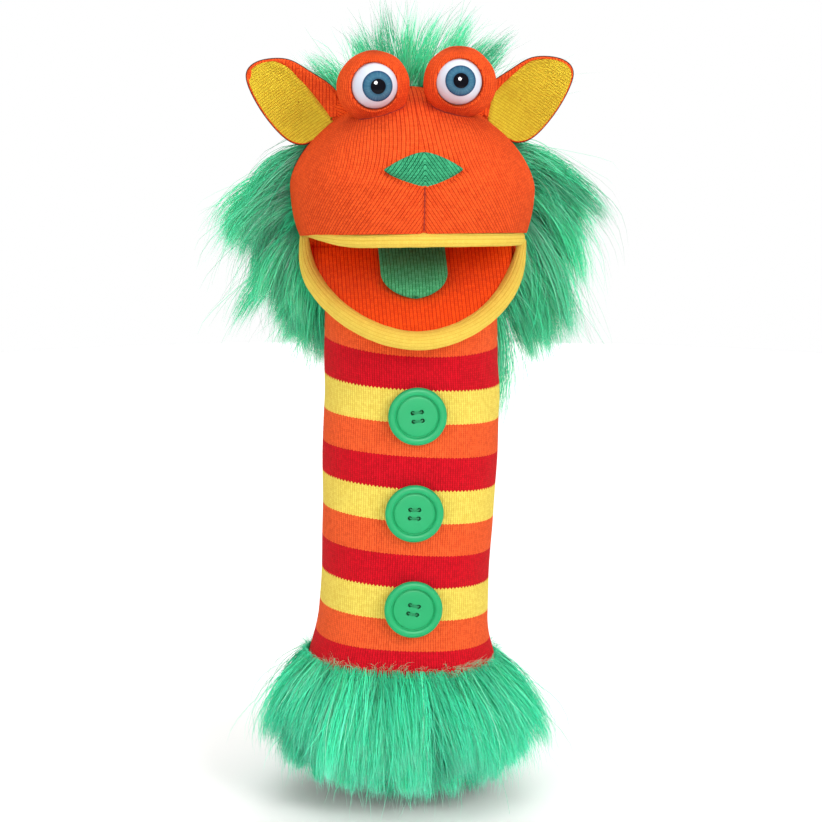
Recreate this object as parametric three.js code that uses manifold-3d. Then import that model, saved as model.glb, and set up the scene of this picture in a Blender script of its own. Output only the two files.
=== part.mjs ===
// A knitted glove puppet: a striped sleeve for the arm, a stuffed head with a working mouth,
// a tongue, two soft ears, plastic eyes, three sewn-on buttons and long-pile fur.
// Units are millimetres. +Z is up and the puppet faces -Y. The origin is the centre of the
// opening that the hand goes in at, in the plane of the cuff's rim.
// Left and right are as seen from the front: left is -X.

import * as THREE from "three";
import { mergeVertices } from "three/addons/utils/BufferGeometryUtils.js";
import Module from "manifold-3d";

const wasm = await Module();
wasm.setup();

// Gaps between pieces
const seat = 0.3; // between two pieces that touch
const softSeat = 0.8; // between a piece and what it turns against

// Sleeve
const cuffDepth = 47.8; // from the rim up to the seam under the lowest stripe
const lowestStripe = 9.6;
const stripeHeight = 16.1;
const sleeveStripes = 8; // whole stripes on the sleeve, above the lowest one
const sleeveHemWidth = 91.6;
const sleeveTopWidth = 84.4;
const sleeveHemDepth = 69;
const sleeveTopDepth = 64;
const sleeveWall = 3;
const sleevePower = 2.3; // 2 is an ellipse, more is squarer
const sleeveLean = 6.6; // how far the head stands to the right of the hand opening
const facingHeight = 14; // the hem folded inside the sleeve
const facingWall = 1.8;

// Cuff
const cuffBackingWall = 2.4;
const rimFlare = 4; // the rim is this much wider than the hem, on each side
const pileDrop = 17; // how far the pile hangs below the rim
const pileFlare = 19; // how far the pile stands off the backing
const pileSweep = 8; // the pile is brushed to the right by this
const pileRise = 3; // the pile's roots cover the seam by this
const pileRootDepth = 1.6; // how far the pile stands off at its roots
const pileTips = 0.2; // the lowest share of the pile, which thins to its tips

// Buttons
const buttonDiameter = 28;
const buttonThickness = 3.4;
const buttonWell = 20.5; // diameter of the dished middle
const buttonDish = 0.9;
const buttonHole = 2.1;
const buttonHoleSpacing = 4.2;
const buttonHoleTurn = 12; // degrees
const buttonPitch = 47.2;
const lowestButton = 80.7;
const buttonStandOff = 1.6; // between a button's back and the knit
const threadDiameter = 1.3;

// Neck and mouth
const neckStripe = 16.1;
const neckLower = 19.4;
const neckUpper = 14;
const hingeHeight = 253.5;
const hingeGap = 3; // from the jaw's axis to each palate
const palateRise = 9.2; // degrees above level
const jawDrop = 34; // degrees below level
const jawLength = 63;
const jawHalfWidth = 51.5;
const jawPower = 1.85; // 2 is an ellipse, less is more pointed
const jawThickness = 21;
const jawTipThickness = 6;
const jawBack = 0.5; // the jaw stops this far behind its axis, clear of the head's cover
const hingeBack = 4.5; // and the head's cover starts this far behind it
const coverWall = 2.5;
const palateThickness = 1.8;
const boardThickness = 2;
const lipHeight = 7;
const lipThickness = 5.6;
const lowerLip = 8.6; // diameter of the jaw's rolled edge
const cornerLip = 3; // both lips taper to this at the corners of the mouth
const cornerInset = 4.5; // the upper lip ends this far inside the head's edge
const cornerCurl = 3.5; // the lower lip's ends turn up by this, outside the upper lip's

// Hand pockets
const fingerPocketWidth = 72;
const fingerPocketHeight = 19;
const fingerPocketLength = 56;
const pocketWall = 1.6;

// Head
const headHalfWidth = 57.8;
const headWidestHeight = 281;
const headTop = 326.8;
const headSidePower = 1.6; // how round the head's side is above its widest
const headFrontPower = 1.4;
const headBackPower = 2.6;
const headFront = 81;
const headFrontHeight = 291;
const headBack = 34;
const headLowerRound = 63;
const muzzleLowerRound = 66;

// Nose and tongue
const noseWidth = 36;
const noseHeight = 17;
const noseThickness = 11;
const noseCentreHeight = 297.5;
const noseTilt = 24; // degrees that the nose faces up
const tongueWidth = 32;
const tongueLength = 35.5;
const tongueThickness = 5.5;
const tongueRootThickness = 2.4;
const tongueRoot = 1.5; // from the jaw's axis

// Eyes
const eyeSpacing = 39;
const eyeHeight = headTop + 4.8;
const rightEyeRise = 1.5;
const eyeDiameter = 21.6;
const eyeForward = 33; // from the head's axis to the eye's centre
const socketRadius = 16.6;
const socketForward = 24;
const socketDrop = 1.3; // the socket's centre is this far below the eye's
const irisDiameter = 14.6;
const pupilDiameter = 7.3;
const discThickness = 1.2;
const shankDiameter = 4.6;
const shankLength = 9;
const washerDiameter = 12;
const washerThickness = 1.6;
const washerPlace = 0.4; // share of the shank in front of the washer

// Ears
const earReach = 41; // from the root out to the side
const earCup = 7; // how far the edges come forward
const earShellThickness = 2.2;
const earLiningThickness = 2;
const earLiningShare = 0.93; // the lining's outline against the ear's
const earFlap = 15; // degrees, each way
const earRootX = 36;
const earRootY = 2;
const earRootHeight = headTop - 8.8;

// Mane and crown, the outer shape of the long pile
const furBackingThickness = 2;
const furFront = 14; // the fur covers the head behind this
const maneTop = headTop - 4.8;
const maneBottom = 197;
const maneSideTop = 304; // the side lobes start below the ears
const maneSplit = 40; // and this far from the middle
const maneReach = 91; // from the head's axis to the outer tips
const maneRootX = 47; // the side lobes' upper ends, from the head's axis
const maneTipX = 51; // and their lower ends
const maneY = 22;
const maneHalfWidth = 22;
const maneHalfDepth = 14;
const maneBackHalfWidth = 54;
const maneBackReach = 60;
const maneBackMiddle = 14; // the back lobe's middle stands this far behind the head
const maneBackEnds = 6; // and its two ends this far
const crownX = 3;
const crownHalfWidth = 54;
const crownHalfDepth = 12;
const crownHalfHeight = 30;
const crownTop = headTop + 34.2;

// Heights that follow from the sizes above
const stripesBottom = cuffDepth + lowestStripe;
const sleeveTop = stripesBottom + sleeveStripes * stripeHeight;
const neckLowerBottom = sleeveTop + neckStripe;
const neckUpperBottom = neckLowerBottom + neckLower;
const headBottom = neckUpperBottom + neckUpper;

const ringPoints = 28;
const far = 200; // past everything that a cutting shape has to pass
const rad = THREE.MathUtils.degToRad;
const lerp = THREE.MathUtils.lerp;
const vec = (x, y, z) => new THREE.Vector3(x, y, z);

// Materials
const paint = (color, roughness = 0.95) => new THREE.MeshStandardMaterial({ color, roughness });
const orangeKnit = paint(0xf0552a);
const redKnit = paint(0xcf1422);
const yellowKnit = paint(0xf8d93f);
const greenKnit = paint(0x2f9a6a);
const greenFur = paint(0x3dbb88, 1);
const furCloth = paint(0x2c8f68);
const paleCloth = paint(0xe8dcc8);
const stuffing = paint(0xf4f2ec, 1);
const board = paint(0xb9b4a8, 0.8);
const buttonPlastic = paint(0x2fae74, 0.35);
const thread = paint(0x1f7a52);
const eyeWhite = paint(0xf7f7f4, 0.15);
const irisBlue = paint(0x3d86b8, 0.15);
const pupilBlack = paint(0x0a0a0c, 0.1);
const washerPlastic = paint(0xe4e4e0, 0.5);

const puppet = new THREE.Group();
// The pieces are laid out round the head's axis, and the lean brings the opening to the origin.
const figure = new THREE.Group();
figure.position.x = sleeveLean;
puppet.add(figure);

// Geometry helpers

// Turns a closed mesh's faces outwards if they point in.
function facingOut(geometry) {
  const positions = geometry.getAttribute("position");
  const index = geometry.index.array;
  const corner = (i) => vec(0, 0, 0).fromBufferAttribute(positions, index[i]);
  let volume = 0;
  for (let i = 0; i < index.length; i += 3) {
    volume += corner(i).dot(corner(i + 1).cross(corner(i + 2)));
  }
  if (volume < 0) {
    for (let i = 0; i < index.length; i += 3) {
      [index[i + 1], index[i + 2]] = [index[i + 2], index[i + 1]];
    }
  }
  return geometry;
}

// A closed solid through rings of equally many points, with a flat fan over each end.
function loft(rings) {
  const count = rings[0].length;
  const points = rings.flat();
  const index = [];
  for (let r = 0; r + 1 < rings.length; r++) {
    for (let i = 0; i < count; i++) {
      const j = (i + 1) % count;
      const a = r * count + i;
      const b = r * count + j;
      index.push(a, b, b + count, a, b + count, a + count);
    }
  }
  const middle = (ring) => ring.reduce((sum, p) => sum.add(p), vec(0, 0, 0)).divideScalar(count);
  const last = (rings.length - 1) * count;
  const first = points.length;
  points.push(middle(rings[0]), middle(rings[rings.length - 1]));
  for (let i = 0; i < count; i++) {
    const j = (i + 1) % count;
    index.push(first, j, i, first + 1, last + i, last + j);
  }
  const geometry = new THREE.BufferGeometry().setFromPoints(points);
  geometry.setIndex(index);
  return solid(facingOut(geometry));
}

// A closed mesh as a solid that can be joined and cut.
function solid(source) {
  const geometry = source.clone();
  geometry.deleteAttribute("normal");
  geometry.deleteAttribute("uv");
  const merged = mergeVertices(geometry, 1e-4);
  return new wasm.Manifold(
    new wasm.Mesh({
      numProp: 3,
      vertProperties: new Float32Array(merged.getAttribute("position").array),
      triVerts: new Uint32Array(merged.index.array),
    }),
  );
}

// The main body of a shape that a cut left in several.
function mainBody(shape) {
  return shape.decompose().sort((a, b) => b.volume() - a.volume())[0];
}

// What is left of a shape that has to clear an obstacle while it turns about an axis.
function clearWhenTurned(shape, obstacle, point, axis, degrees) {
  let left = shape;
  for (const share of [-1, -0.5, 0, 0.5, 1]) {
    left = left.subtract(turned(obstacle, point, axis, share * degrees));
  }
  return mainBody(left);
}

function turned(shape, point, axis, degrees) {
  const turn = new THREE.Matrix4().makeTranslation(point);
  turn.multiply(new THREE.Matrix4().makeRotationAxis(axis, rad(degrees)));
  turn.multiply(new THREE.Matrix4().makeTranslation(point.clone().negate()));
  return shape.transform(turn.elements);
}

// A geometry as a solid after it is turned and moved by an object's place.
function placed(geometry, place) {
  place.updateMatrix();
  return solid(geometry.clone().applyMatrix4(place.matrix));
}

function at(x, y, z, turnX = 0, turnY = 0, turnZ = 0) {
  const place = new THREE.Object3D();
  place.position.set(x, y, z);
  place.rotation.set(turnX, turnY, turnZ);
  return place;
}

function add(name, shape, material) {
  const made = shape.getMesh();
  const stride = made.numProp;
  const points = new Float32Array(made.numVert * 3);
  for (let i = 0; i < made.numVert; i++) {
    points.set(made.vertProperties.subarray(i * stride, i * stride + 3), i * 3);
  }
  const geometry = new THREE.BufferGeometry();
  geometry.setAttribute("position", new THREE.BufferAttribute(points, 3));
  geometry.setIndex(new THREE.BufferAttribute(new Uint32Array(made.triVerts), 1));
  geometry.computeVertexNormals();
  const mesh = new THREE.Mesh(geometry, material);
  mesh.name = name;
  figure.add(mesh);
  return mesh;
}

// One side of a rounded outline: 1 at the middle, 0 at the end.
const rounded = (t, power = 2) => Math.pow(Math.max(0, 1 - Math.pow(Math.abs(t), power)), 1 / power);

// A level ring, squarer than an ellipse where power is over 2. A slope tips it sideways.
function oval({ x = 0, y = 0, z, halfWidth, front, back = front, power = sleevePower, slope = 0 }) {
  const ring = [];
  for (let i = 0; i < ringPoints; i++) {
    const angle = (i / ringPoints) * 2 * Math.PI;
    const c = Math.cos(angle);
    const s = Math.sin(angle);
    const across = halfWidth * Math.sign(c) * Math.pow(Math.abs(c), 2 / power);
    const reach = s < 0 ? front : back;
    const along = reach * Math.sign(s) * Math.pow(Math.abs(s), 2 / power);
    ring.push(vec(x + across, y + along, z + across * slope));
  }
  return ring;
}

// A tube of elliptical section along a curve in a plane, with its thickness given along the way.
function sweep(curve, normal, steps, halfAcross, halfAlongNormal, sides = 8) {
  const rings = [];
  for (let k = 0; k <= steps; k++) {
    const t = k / steps;
    const centre = curve.getPoint(t);
    const across = curve.getTangent(t).cross(normal).normalize();
    const ring = [];
    for (let i = 0; i < sides; i++) {
      const angle = (i / sides) * 2 * Math.PI;
      ring.push(
        centre
          .clone()
          .addScaledVector(across, halfAcross(t) * Math.cos(angle))
          .addScaledVector(normal, halfAlongNormal(t) * Math.sin(angle)),
      );
    }
    rings.push(ring);
  }
  return loft(rings);
}

// Sleeve

// The knit tube's section at a height, drawn in by inset. It leans towards the head's axis.
function sleeveRing(z, inset = 0) {
  const t = (z - cuffDepth) / (sleeveTop - cuffDepth);
  const lean = sleeveLean / (neckLowerBottom - cuffDepth);
  const above = THREE.MathUtils.clamp(z / neckLowerBottom, 0, 1);
  const depth = lerp(sleeveHemDepth, sleeveTopDepth, t) / 2 - inset;
  return oval({
    x: -sleeveLean * (1 - above),
    z,
    halfWidth: lerp(sleeveHemWidth, sleeveTopWidth, t) / 2 - inset,
    front: depth,
    slope: -lean * THREE.MathUtils.clamp(1 - (z - neckLowerBottom) / neckLower, 0, 1),
  });
}

function sleevePiece(bottom, top, inset, wall) {
  const past = 1;
  const outer = loft([sleeveRing(bottom, inset), sleeveRing(top, inset)]);
  const inner = loft([sleeveRing(bottom - past, inset + wall), sleeveRing(top + past, inset + wall)]);
  return outer.subtract(inner);
}

function buildSleeve() {
  add("sleeve_tube", sleevePiece(cuffDepth + seat, sleeveTop, 0, sleeveWall), redKnit);
  const facingBottom = cuffDepth + seat;
  const facing = sleevePiece(facingBottom, facingBottom + facingHeight, sleeveWall + seat, facingWall);
  add("hem_facing", facing, redKnit);
}

// The cuff's backing cloth, from the seam down to the rim, at a distance outside its outer face.
function cuffRing(z, out = 0) {
  const flare = rimFlare * (1 - Math.max(z, 0) / cuffDepth);
  return oval({
    x: -sleeveLean * (1 - Math.max(z, 0) / neckLowerBottom),
    z,
    halfWidth: sleeveHemWidth / 2 + flare + out,
    front: sleeveHemDepth / 2 + flare + out,
  });
}

function buildCuff() {
  const top = cuffDepth - 2 * seat - (sleeveHemWidth / 2) * (sleeveLean / (neckLowerBottom - cuffDepth));
  const backing = loft([cuffRing(0), cuffRing(top)]);
  const hollow = loft([cuffRing(-1, -cuffBackingWall), cuffRing(top + 1, -cuffBackingWall)]);
  add("cuff_backing", backing.subtract(hollow), furCloth);

  // The pile swells out from its roots, hangs past the rim and thins towards its tips.
  const pileTop = cuffDepth + pileRise;
  const steps = 8;
  const rings = [];
  for (let k = 0; k <= steps; k++) {
    const t = k / steps;
    const z = lerp(-pileDrop, pileTop, t);
    const swell = Math.pow(Math.sin(Math.PI * Math.pow(1 - t, 0.62) * 0.56), 0.8);
    const thinning = t < pileTips ? lerp(0.72, 1, rounded(1 - t / pileTips)) : 1;
    const ring = cuffRing(z, pileRootDepth + pileFlare * swell * thinning);
    rings.push(ring.map((p) => p.add(vec(pileSweep * (1 - t), 0, 0))));
  }
  const core = loft([
    cuffRing(-pileDrop - 1, seat),
    cuffRing(0, seat),
    cuffRing(cuffDepth, seat),
    cuffRing(pileTop + 1, seat),
  ]);
  add("cuff_fur", loft(rings).subtract(core), greenFur);
}

// Buttons

function buttonShape() {
  const radius = buttonDiameter / 2;
  const well = buttonWell / 2;
  const profile = new THREE.Path();
  profile.moveTo(0, 0);
  profile.lineTo(radius - 1.4, 0);
  profile.quadraticCurveTo(radius, 0, radius, 1.5);
  profile.quadraticCurveTo(radius, buttonThickness, radius - 1.9, buttonThickness);
  profile.quadraticCurveTo(well + 0.4, buttonThickness, well, buttonThickness - buttonDish);
  profile.lineTo(0, buttonThickness - buttonDish);
  const disc = new THREE.LatheGeometry(profile.getPoints(2), 26);
  let shape = solid(disc);
  if (shape.volume() < 0) throw new Error("the button's profile runs the wrong way");
  for (const [x, z] of buttonHoles()) {
    const hole = new THREE.CylinderGeometry(buttonHole / 2, buttonHole / 2, 4 * buttonThickness, 7);
    shape = shape.subtract(placed(hole, at(x, 0, z)));
  }
  return shape;
}

// The four holes' places in the button's own plane.
function buttonHoles() {
  const half = buttonHoleSpacing / 2;
  const turn = rad(buttonHoleTurn);
  return [[-half, -half], [half, -half], [half, half], [-half, half]].map(([x, z]) => [
    x * Math.cos(turn) - z * Math.sin(turn),
    x * Math.sin(turn) + z * Math.cos(turn),
  ]);
}

// Two stitches over the button's face, down its holes and gathered on the knit behind it.
function threadShape() {
  const radius = threadDiameter / 2;
  const face = buttonThickness - buttonDish;
  const holes = buttonHoles();
  const legTop = face + seat + radius;
  const legBottom = seat - buttonStandOff;
  let shape = null;
  const join = (piece) => {
    shape = shape ? shape.add(piece) : piece;
  };
  for (const [x, z] of holes) {
    const leg = new THREE.CylinderGeometry(radius, radius, legTop - legBottom, 5);
    join(placed(leg, at(x, (legTop + legBottom) / 2, z)));
  }
  for (const [a, b] of [[0, 1], [2, 3]]) {
    const [ax, az] = holes[a];
    const [bx, bz] = holes[b];
    const length = Math.hypot(bx - ax, bz - az) + threadDiameter;
    const stitch = new THREE.CylinderGeometry(radius, radius, length, 6);
    const lying = placed(stitch, at(0, 0, 0, 0, 0, Math.PI / 2));
    const degrees = THREE.MathUtils.radToDeg(Math.atan2(bz - az, bx - ax));
    join(lying.rotate([0, -degrees, 0]).translate([(ax + bx) / 2, legTop, (az + bz) / 2]));
  }
  const knotRadius = buttonHoleSpacing * 0.85;
  const knot = new THREE.CylinderGeometry(knotRadius, knotRadius, buttonStandOff - 2 * seat, 10);
  join(placed(knot, at(0, -buttonStandOff / 2, 0)));
  return shape;
}

function buildButtons() {
  const names = ["bottom", "middle", "top"];
  names.forEach((name, i) => {
    const z = lowestButton + i * buttonPitch;
    const ring = sleeveRing(z);
    const knitFront = Math.min(...ring.map((p) => p.y));
    const centreX = -sleeveLean * (1 - z / neckLowerBottom);
    const turn = at(centreX, knitFront - buttonStandOff, z, Math.PI);
    turn.updateMatrix();
    const place = (shape) => shape.transform(turn.matrix.elements);
    add("button_" + name, place(buttonShape()), buttonPlastic);
    add("button_thread_" + name, place(threadShape()), thread);
  });
}

// Neck

function buildNeck() {
  const pieces = [
    ["neck_stripe", sleeveTop + seat, neckLowerBottom, redKnit],
    ["neck_lower", neckLowerBottom + seat, neckUpperBottom, orangeKnit],
    ["neck_upper", neckUpperBottom + seat, headBottom - seat, orangeKnit],
  ];
  const jawRoom = inJaw(jawForm({ inset: -seat, top: seat, back: -2 * jawThickness }));
  for (const [name, bottom, top, material] of pieces) {
    add(name, mainBody(sleevePiece(bottom, top, 0, sleeveWall).subtract(jawRoom)), material);
  }
}

// Head

// How far the head reaches from its axis at a height: out to the side, forward and back.
function headReach(z, inset = 0) {
  const top = headTop - inset;
  const up = (z - headWidestHeight) / (top - headWidestHeight);
  const upFront = (z - headFrontHeight) / (top - headFrontHeight);
  const side = up > 0 ? rounded(up, headSidePower) : rounded(up * ((top - headWidestHeight) / headLowerRound));
  const front = upFront > 0 ? rounded(upFront, headFrontPower) : rounded((headFrontHeight - z) / muzzleLowerRound);
  const back = up > 0 ? rounded(up, headBackPower) : 1;
  return {
    halfWidth: (headHalfWidth - inset) * side,
    front: (headFront - inset) * front,
    back: (headBack - inset) * back,
  };
}

const topStep = 0.4; // the least height between the head's top two rings
const bluntEnd = 0.99; // a form's last ring is this share of the way to its end

// The head drawn in by inset, or grown where inset is negative. All such forms share their heights.
function headForm(inset = 0, bottom = headBottom) {
  const levels = 11;
  const top = headTop - inset;
  const heights = bottom < headBottom ? [bottom] : [];
  for (let k = 0; k <= levels; k++) {
    const z = lerp(headBottom, headTop, Math.sin((k / levels) * (Math.PI / 2)));
    if (z < top - topStep) heights.push(z);
  }
  heights.push(top - topStep / 10);
  return loft(heights.map((z) => oval({ z, ...headReach(z, inset) })));
}

// How far forward the head's skin is at a place across it.
function muzzleFront(x, z) {
  const reach = headReach(z);
  return -reach.front * rounded(x / reach.halfWidth, sleevePower);
}

// A prism across the puppet with its outline given in y and z.
function prism(points) {
  const outline = new THREE.Shape(points.map(([y, z]) => new THREE.Vector2(y, z)));
  const geometry = new THREE.ExtrudeGeometry(outline, { depth: 2 * far, bevelEnabled: false });
  geometry.translate(0, 0, -far);
  geometry.applyMatrix4(new THREE.Matrix4().makeBasis(vec(0, 1, 0), vec(0, 0, 1), vec(1, 0, 0)));
  return solid(geometry);
}

// Everything behind a y.
const behind = (y) => prism([[y, -far], [y + far, -far], [y + far, 2 * far], [y, 2 * far]]);

const palateHeight = (y) => hingeHeight + hingeGap - y * Math.tan(rad(palateRise));

// The layer between two heights above the upper palate's face.
function palateSlab(low, high, back = 0) {
  return prism([
    [back, palateHeight(back) + low],
    [back, palateHeight(back) + high],
    [-far, palateHeight(-far) + high],
    [-far, palateHeight(-far) + low],
  ]);
}

// A frame that looks forward and up at an angle: X across, Y along its normal, Z forward.
function forwardFrame(y, z, rise) {
  const angle = rad(rise);
  const normal = vec(0, Math.sin(angle), Math.cos(angle));
  const forward = vec(0, -Math.cos(angle), Math.sin(angle));
  return new THREE.Matrix4().makeBasis(vec(1, 0, 0), normal, forward).setPosition(0, y, z);
}

// A straight bar of rounded-rectangle section in such a frame, from its own z of start to end.
function bar(width, height, start, end) {
  const r = height * 0.45;
  const w = width / 2;
  const outline = new THREE.Shape();
  outline.moveTo(-w + r, 0);
  outline.lineTo(w - r, 0);
  outline.absarc(w - r, r, r, -Math.PI / 2, 0);
  outline.absarc(w - r, height - r, r, 0, Math.PI / 2);
  outline.absarc(-w + r, height - r, r, Math.PI / 2, Math.PI);
  outline.absarc(-w + r, r, r, Math.PI, 1.5 * Math.PI);
  const options = { depth: end - start, bevelEnabled: false, curveSegments: 3 };
  return solid(new THREE.ExtrudeGeometry(outline, options).translate(0, 0, start));
}

// The pocket for the fingers lies on the mouth board, its mouth towards the back.
function buildHead() {
  const boardLift = palateThickness + seat;
  const pocketLift = boardLift + boardThickness + seat;
  const insideCover = headForm(coverWall + seat);
  const mouth = palateSlab(-far, 0, hingeBack);
  const cover = headForm().subtract(mouth).subtract(headForm(coverWall, headBottom - 2 * coverWall));
  add("head_cover", cover, orangeKnit);
  add("upper_palate", insideCover.intersect(palateSlab(0, palateThickness)), orangeKnit);
  add("upper_mouth_board", insideCover.intersect(palateSlab(boardLift, boardLift + boardThickness)), board);

  const frame = forwardFrame(0, palateHeight(0) + pocketLift, palateRise).elements;
  const inner = [fingerPocketWidth - 2 * pocketWall, fingerPocketHeight - 2 * pocketWall];
  const hollow = bar(...inner, -10, fingerPocketLength - pocketWall).translate([0, pocketWall, 0]);
  const pocket = bar(fingerPocketWidth, fingerPocketHeight, 0, fingerPocketLength).subtract(hollow);
  add("finger_pocket", pocket.transform(frame), paleCloth);

  const room = bar(
    fingerPocketWidth + 2 * seat,
    fingerPocketHeight + 2 * seat,
    -2 * headBack,
    fingerPocketLength + seat,
  ).translate([0, -seat, 0]);
  const wadding = insideCover
    .intersect(palateSlab(pocketLift, far, 2 * headBack))
    .subtract(room.transform(frame));
  add("head_stuffing", mainBody(wadding), stuffing);
}

// The upper lip follows the cover's edge and thins towards the corners of the mouth.
const lipTaperShare = 0.16;

function lipTaper(t) {
  const fromCorner = Math.min(1, Math.min(t, 1 - t) / lipTaperShare);
  return Math.sin((fromCorner * Math.PI) / 2);
}

function buildUpperLip() {
  const steps = 22;
  const angle = rad(palateRise);
  const normal = vec(0, Math.sin(angle), Math.cos(angle));
  const halfHeight = (t) => lerp(cornerLip, lipHeight, lipTaper(t)) / 2;
  const halfThickness = (t) => lerp(cornerLip, lipThickness, lipTaper(t)) / 2;
  const points = [];
  for (let k = 0; k <= steps; k++) {
    const t = k / steps;
    const around = Math.PI * (1 + t);
    const c = Math.cos(around);
    const s = Math.sin(around);
    let y = 0;
    let x = 0;
    for (let pass = 0; pass < 4; pass++) {
      const reach = headReach(palateHeight(y));
      const inwards = halfThickness(t) + cornerInset * (1 - lipTaper(t));
      x = (reach.halfWidth - inwards) * Math.sign(c) * Math.pow(Math.abs(c), 2 / sleevePower);
      y = -(reach.front - inwards) * Math.pow(Math.abs(s), 2 / sleevePower);
    }
    points.push(vec(x, y, palateHeight(y)).addScaledVector(normal, -halfHeight(t) - seat));
  }
  const curve = new THREE.CatmullRomCurve3(points);
  add("upper_lip", sweep(curve, normal, steps, halfThickness, halfHeight), yellowKnit);
}

function buildNose() {
  const rings = [];
  const steps = 12;
  const points = 12;
  const tilt = rad(noseTilt);
  for (let k = 0; k <= steps; k++) {
    const u = Math.cos(Math.PI * (1 - k / steps)) * bluntEnd;
    const x = (u * noseWidth) / 2;
    const high = (noseHeight / 2) * (1 - Math.pow(Math.abs(u), 1.6));
    const deep = (noseThickness / 2) * Math.pow(1 - u * u, 0.7);
    const ring = [];
    for (let i = 0; i < points; i++) {
      const angle = (i / points) * 2 * Math.PI;
      const up = high * Math.sin(angle);
      const out = deep * Math.cos(angle);
      const y = muzzleFront(x, noseCentreHeight) - out * Math.cos(tilt) + up * Math.sin(tilt);
      ring.push(vec(x, y, noseCentreHeight + up * Math.cos(tilt) + out * Math.sin(tilt)));
    }
    rings.push(ring);
  }
  add("nose", loft(rings).subtract(headForm(-seat)), greenKnit);
}

// Eyes

const sides = [
  ["left", -1, 0],
  ["right", 1, rightEyeRise],
];

const ball = (radius, rings = 9) => new THREE.SphereGeometry(radius, 2 * rings, rings);

// A cylinder along Y, from one y to another.
function rod(radius, from, to, segments = 16) {
  const geometry = new THREE.CylinderGeometry(radius, radius, Math.abs(to - from), segments);
  geometry.translate(0, (from + to) / 2, 0);
  return solid(geometry);
}

function socketBall(side, rise, grow = 0) {
  const centre = at((side * eyeSpacing) / 2, -socketForward, eyeHeight - socketDrop + rise);
  return placed(ball(socketRadius + grow), centre);
}

// The eye is a hollow-backed plastic ball with a shank, held inside the socket by a washer.
// Its iris and pupil are discs let into the front, one in the other.
function buildEyes() {
  const radius = eyeDiameter / 2;
  for (const [name, side, rise] of sides) {
    const centre = [(side * eyeSpacing) / 2, -eyeForward, eyeHeight + rise];
    const put = (shape) => shape.translate(centre);
    const irisSeat = Math.sqrt(radius * radius - (irisDiameter * irisDiameter) / 4);
    const pupilSeat = Math.sqrt(radius * radius - (pupilDiameter * pupilDiameter) / 4);
    const shankEnd = radius + shankLength;
    const sphere = solid(ball(radius));
    const irisBed = rod(irisDiameter / 2 + seat / 2, -irisSeat + discThickness, -2 * radius, 20);
    const shank = rod(shankDiameter / 2, radius * 0.8, shankEnd, 12);
    add("eye_" + name, put(sphere.subtract(irisBed).add(shank)), eyeWhite);

    const dome = solid(ball(radius, 12));
    const irisDisc = rod(irisDiameter / 2, -irisSeat + discThickness - seat, -2 * radius, 20);
    const pupilBed = rod(pupilDiameter / 2 + seat / 2, -pupilSeat + discThickness, -2 * radius, 14);
    add("iris_" + name, put(dome.intersect(irisDisc).subtract(pupilBed)), irisBlue);
    const pupilDisc = rod(pupilDiameter / 2, -pupilSeat + discThickness - seat, -2 * radius, 14);
    add("pupil_" + name, put(dome.intersect(pupilDisc)), pupilBlack);

    const washerFront = radius + shankLength * washerPlace;
    const washerHole = rod(shankDiameter / 2 + seat, 0, 2 * shankEnd, 12);
    const washer = rod(washerDiameter / 2, washerFront, washerFront + washerThickness);
    add("eye_washer_" + name, put(washer.subtract(washerHole)), washerPlastic);

    const room = solid(ball(radius + seat))
      .add(rod(radius + seat, 0, -3 * radius, 18))
      .add(rod(shankDiameter / 2 + seat, 0, shankEnd + seat, 12))
      .add(rod(washerDiameter / 2 + seat, washerFront - seat, washerFront + washerThickness + seat));
    const socket = socketBall(side, rise).subtract(headForm(-seat)).subtract(put(room));
    add("eye_socket_" + name, mainBody(socket), orangeKnit);
  }
}

// Ears

// The ear's outline for a reach of 1, out from its root and up from it. Its lower edge is fuller.
const earOutline = [
  [-0.02, 0.15],
  [0.29, 0.39],
  [0.56, 0.53],
  [0.88, 0.5],
  [1, 0.33],
  [0.85, -0.02],
  [0.59, -0.34],
  [0.37, -0.43],
  [0.15, -0.32],
  [-0.02, -0.16],
];
const earMiddle = { out: 0.415, up: 0.037 };

// One cupped layer of the ear: its front face, its edge and its back face.
function earLayer(side, share, nearDepth, thickness) {
  const points = 20;
  const outline = new THREE.CatmullRomCurve3(
    earOutline.map(([out, up]) => vec(out, up, 0)),
    true,
  );
  const edge = outline.getPoints(points).slice(0, points);
  const layer = (r, depth) =>
    edge.map((p) => {
      const out = earReach * lerp(earMiddle.out, p.x, r * share);
      const up = earReach * lerp(earMiddle.up, p.y, r * share);
      return vec(side * (earRootX + out), earRootY + earCup * (1 - r * r) + depth, earRootHeight + up);
    });
  const radii = [0.06, 0.6, 1];
  const front = radii.map((r) => layer(r, nearDepth));
  const back = radii.map((r) => layer(r, nearDepth + thickness)).reverse();
  return loft([...front, ...back]);
}

// The line that the ear flaps about, upright at its root.
const earAxis = vec(0, 0, 1);
const earPivot = (side) => vec(side * (earRootX - 3), earRootY + earCup / 2, earRootHeight);

// The space that the ear needs as it flaps, with a clearance all round.
function earRoom(side) {
  const thick = earLiningThickness + seat + earShellThickness;
  const grown = 1 + (2 * softSeat) / earReach;
  const ear = earLayer(side, grown, -softSeat, thick + 2 * softSeat);
  let room = ear;
  for (const share of [-1, -0.5]) {
    room = room.add(turned(ear, earPivot(side), earAxis, -side * share * earFlap));
  }
  return room;
}

function buildEars() {
  for (const [name, side, rise] of sides) {
    const obstacle = headForm(-seat).add(socketBall(side, rise, seat));
    const trim = (layer) => clearWhenTurned(layer, obstacle, earPivot(side), earAxis, earFlap);
    add("ear_lining_" + name, trim(earLayer(side, earLiningShare, 0, earLiningThickness)), yellowKnit);
    const behind = earLiningThickness + seat;
    add("ear_" + name, trim(earLayer(side, 1, behind, earShellThickness)), orangeKnit);
  }
}

// Jaw and tongue, in a frame that looks forward and down along the jaw from its axis

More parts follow.
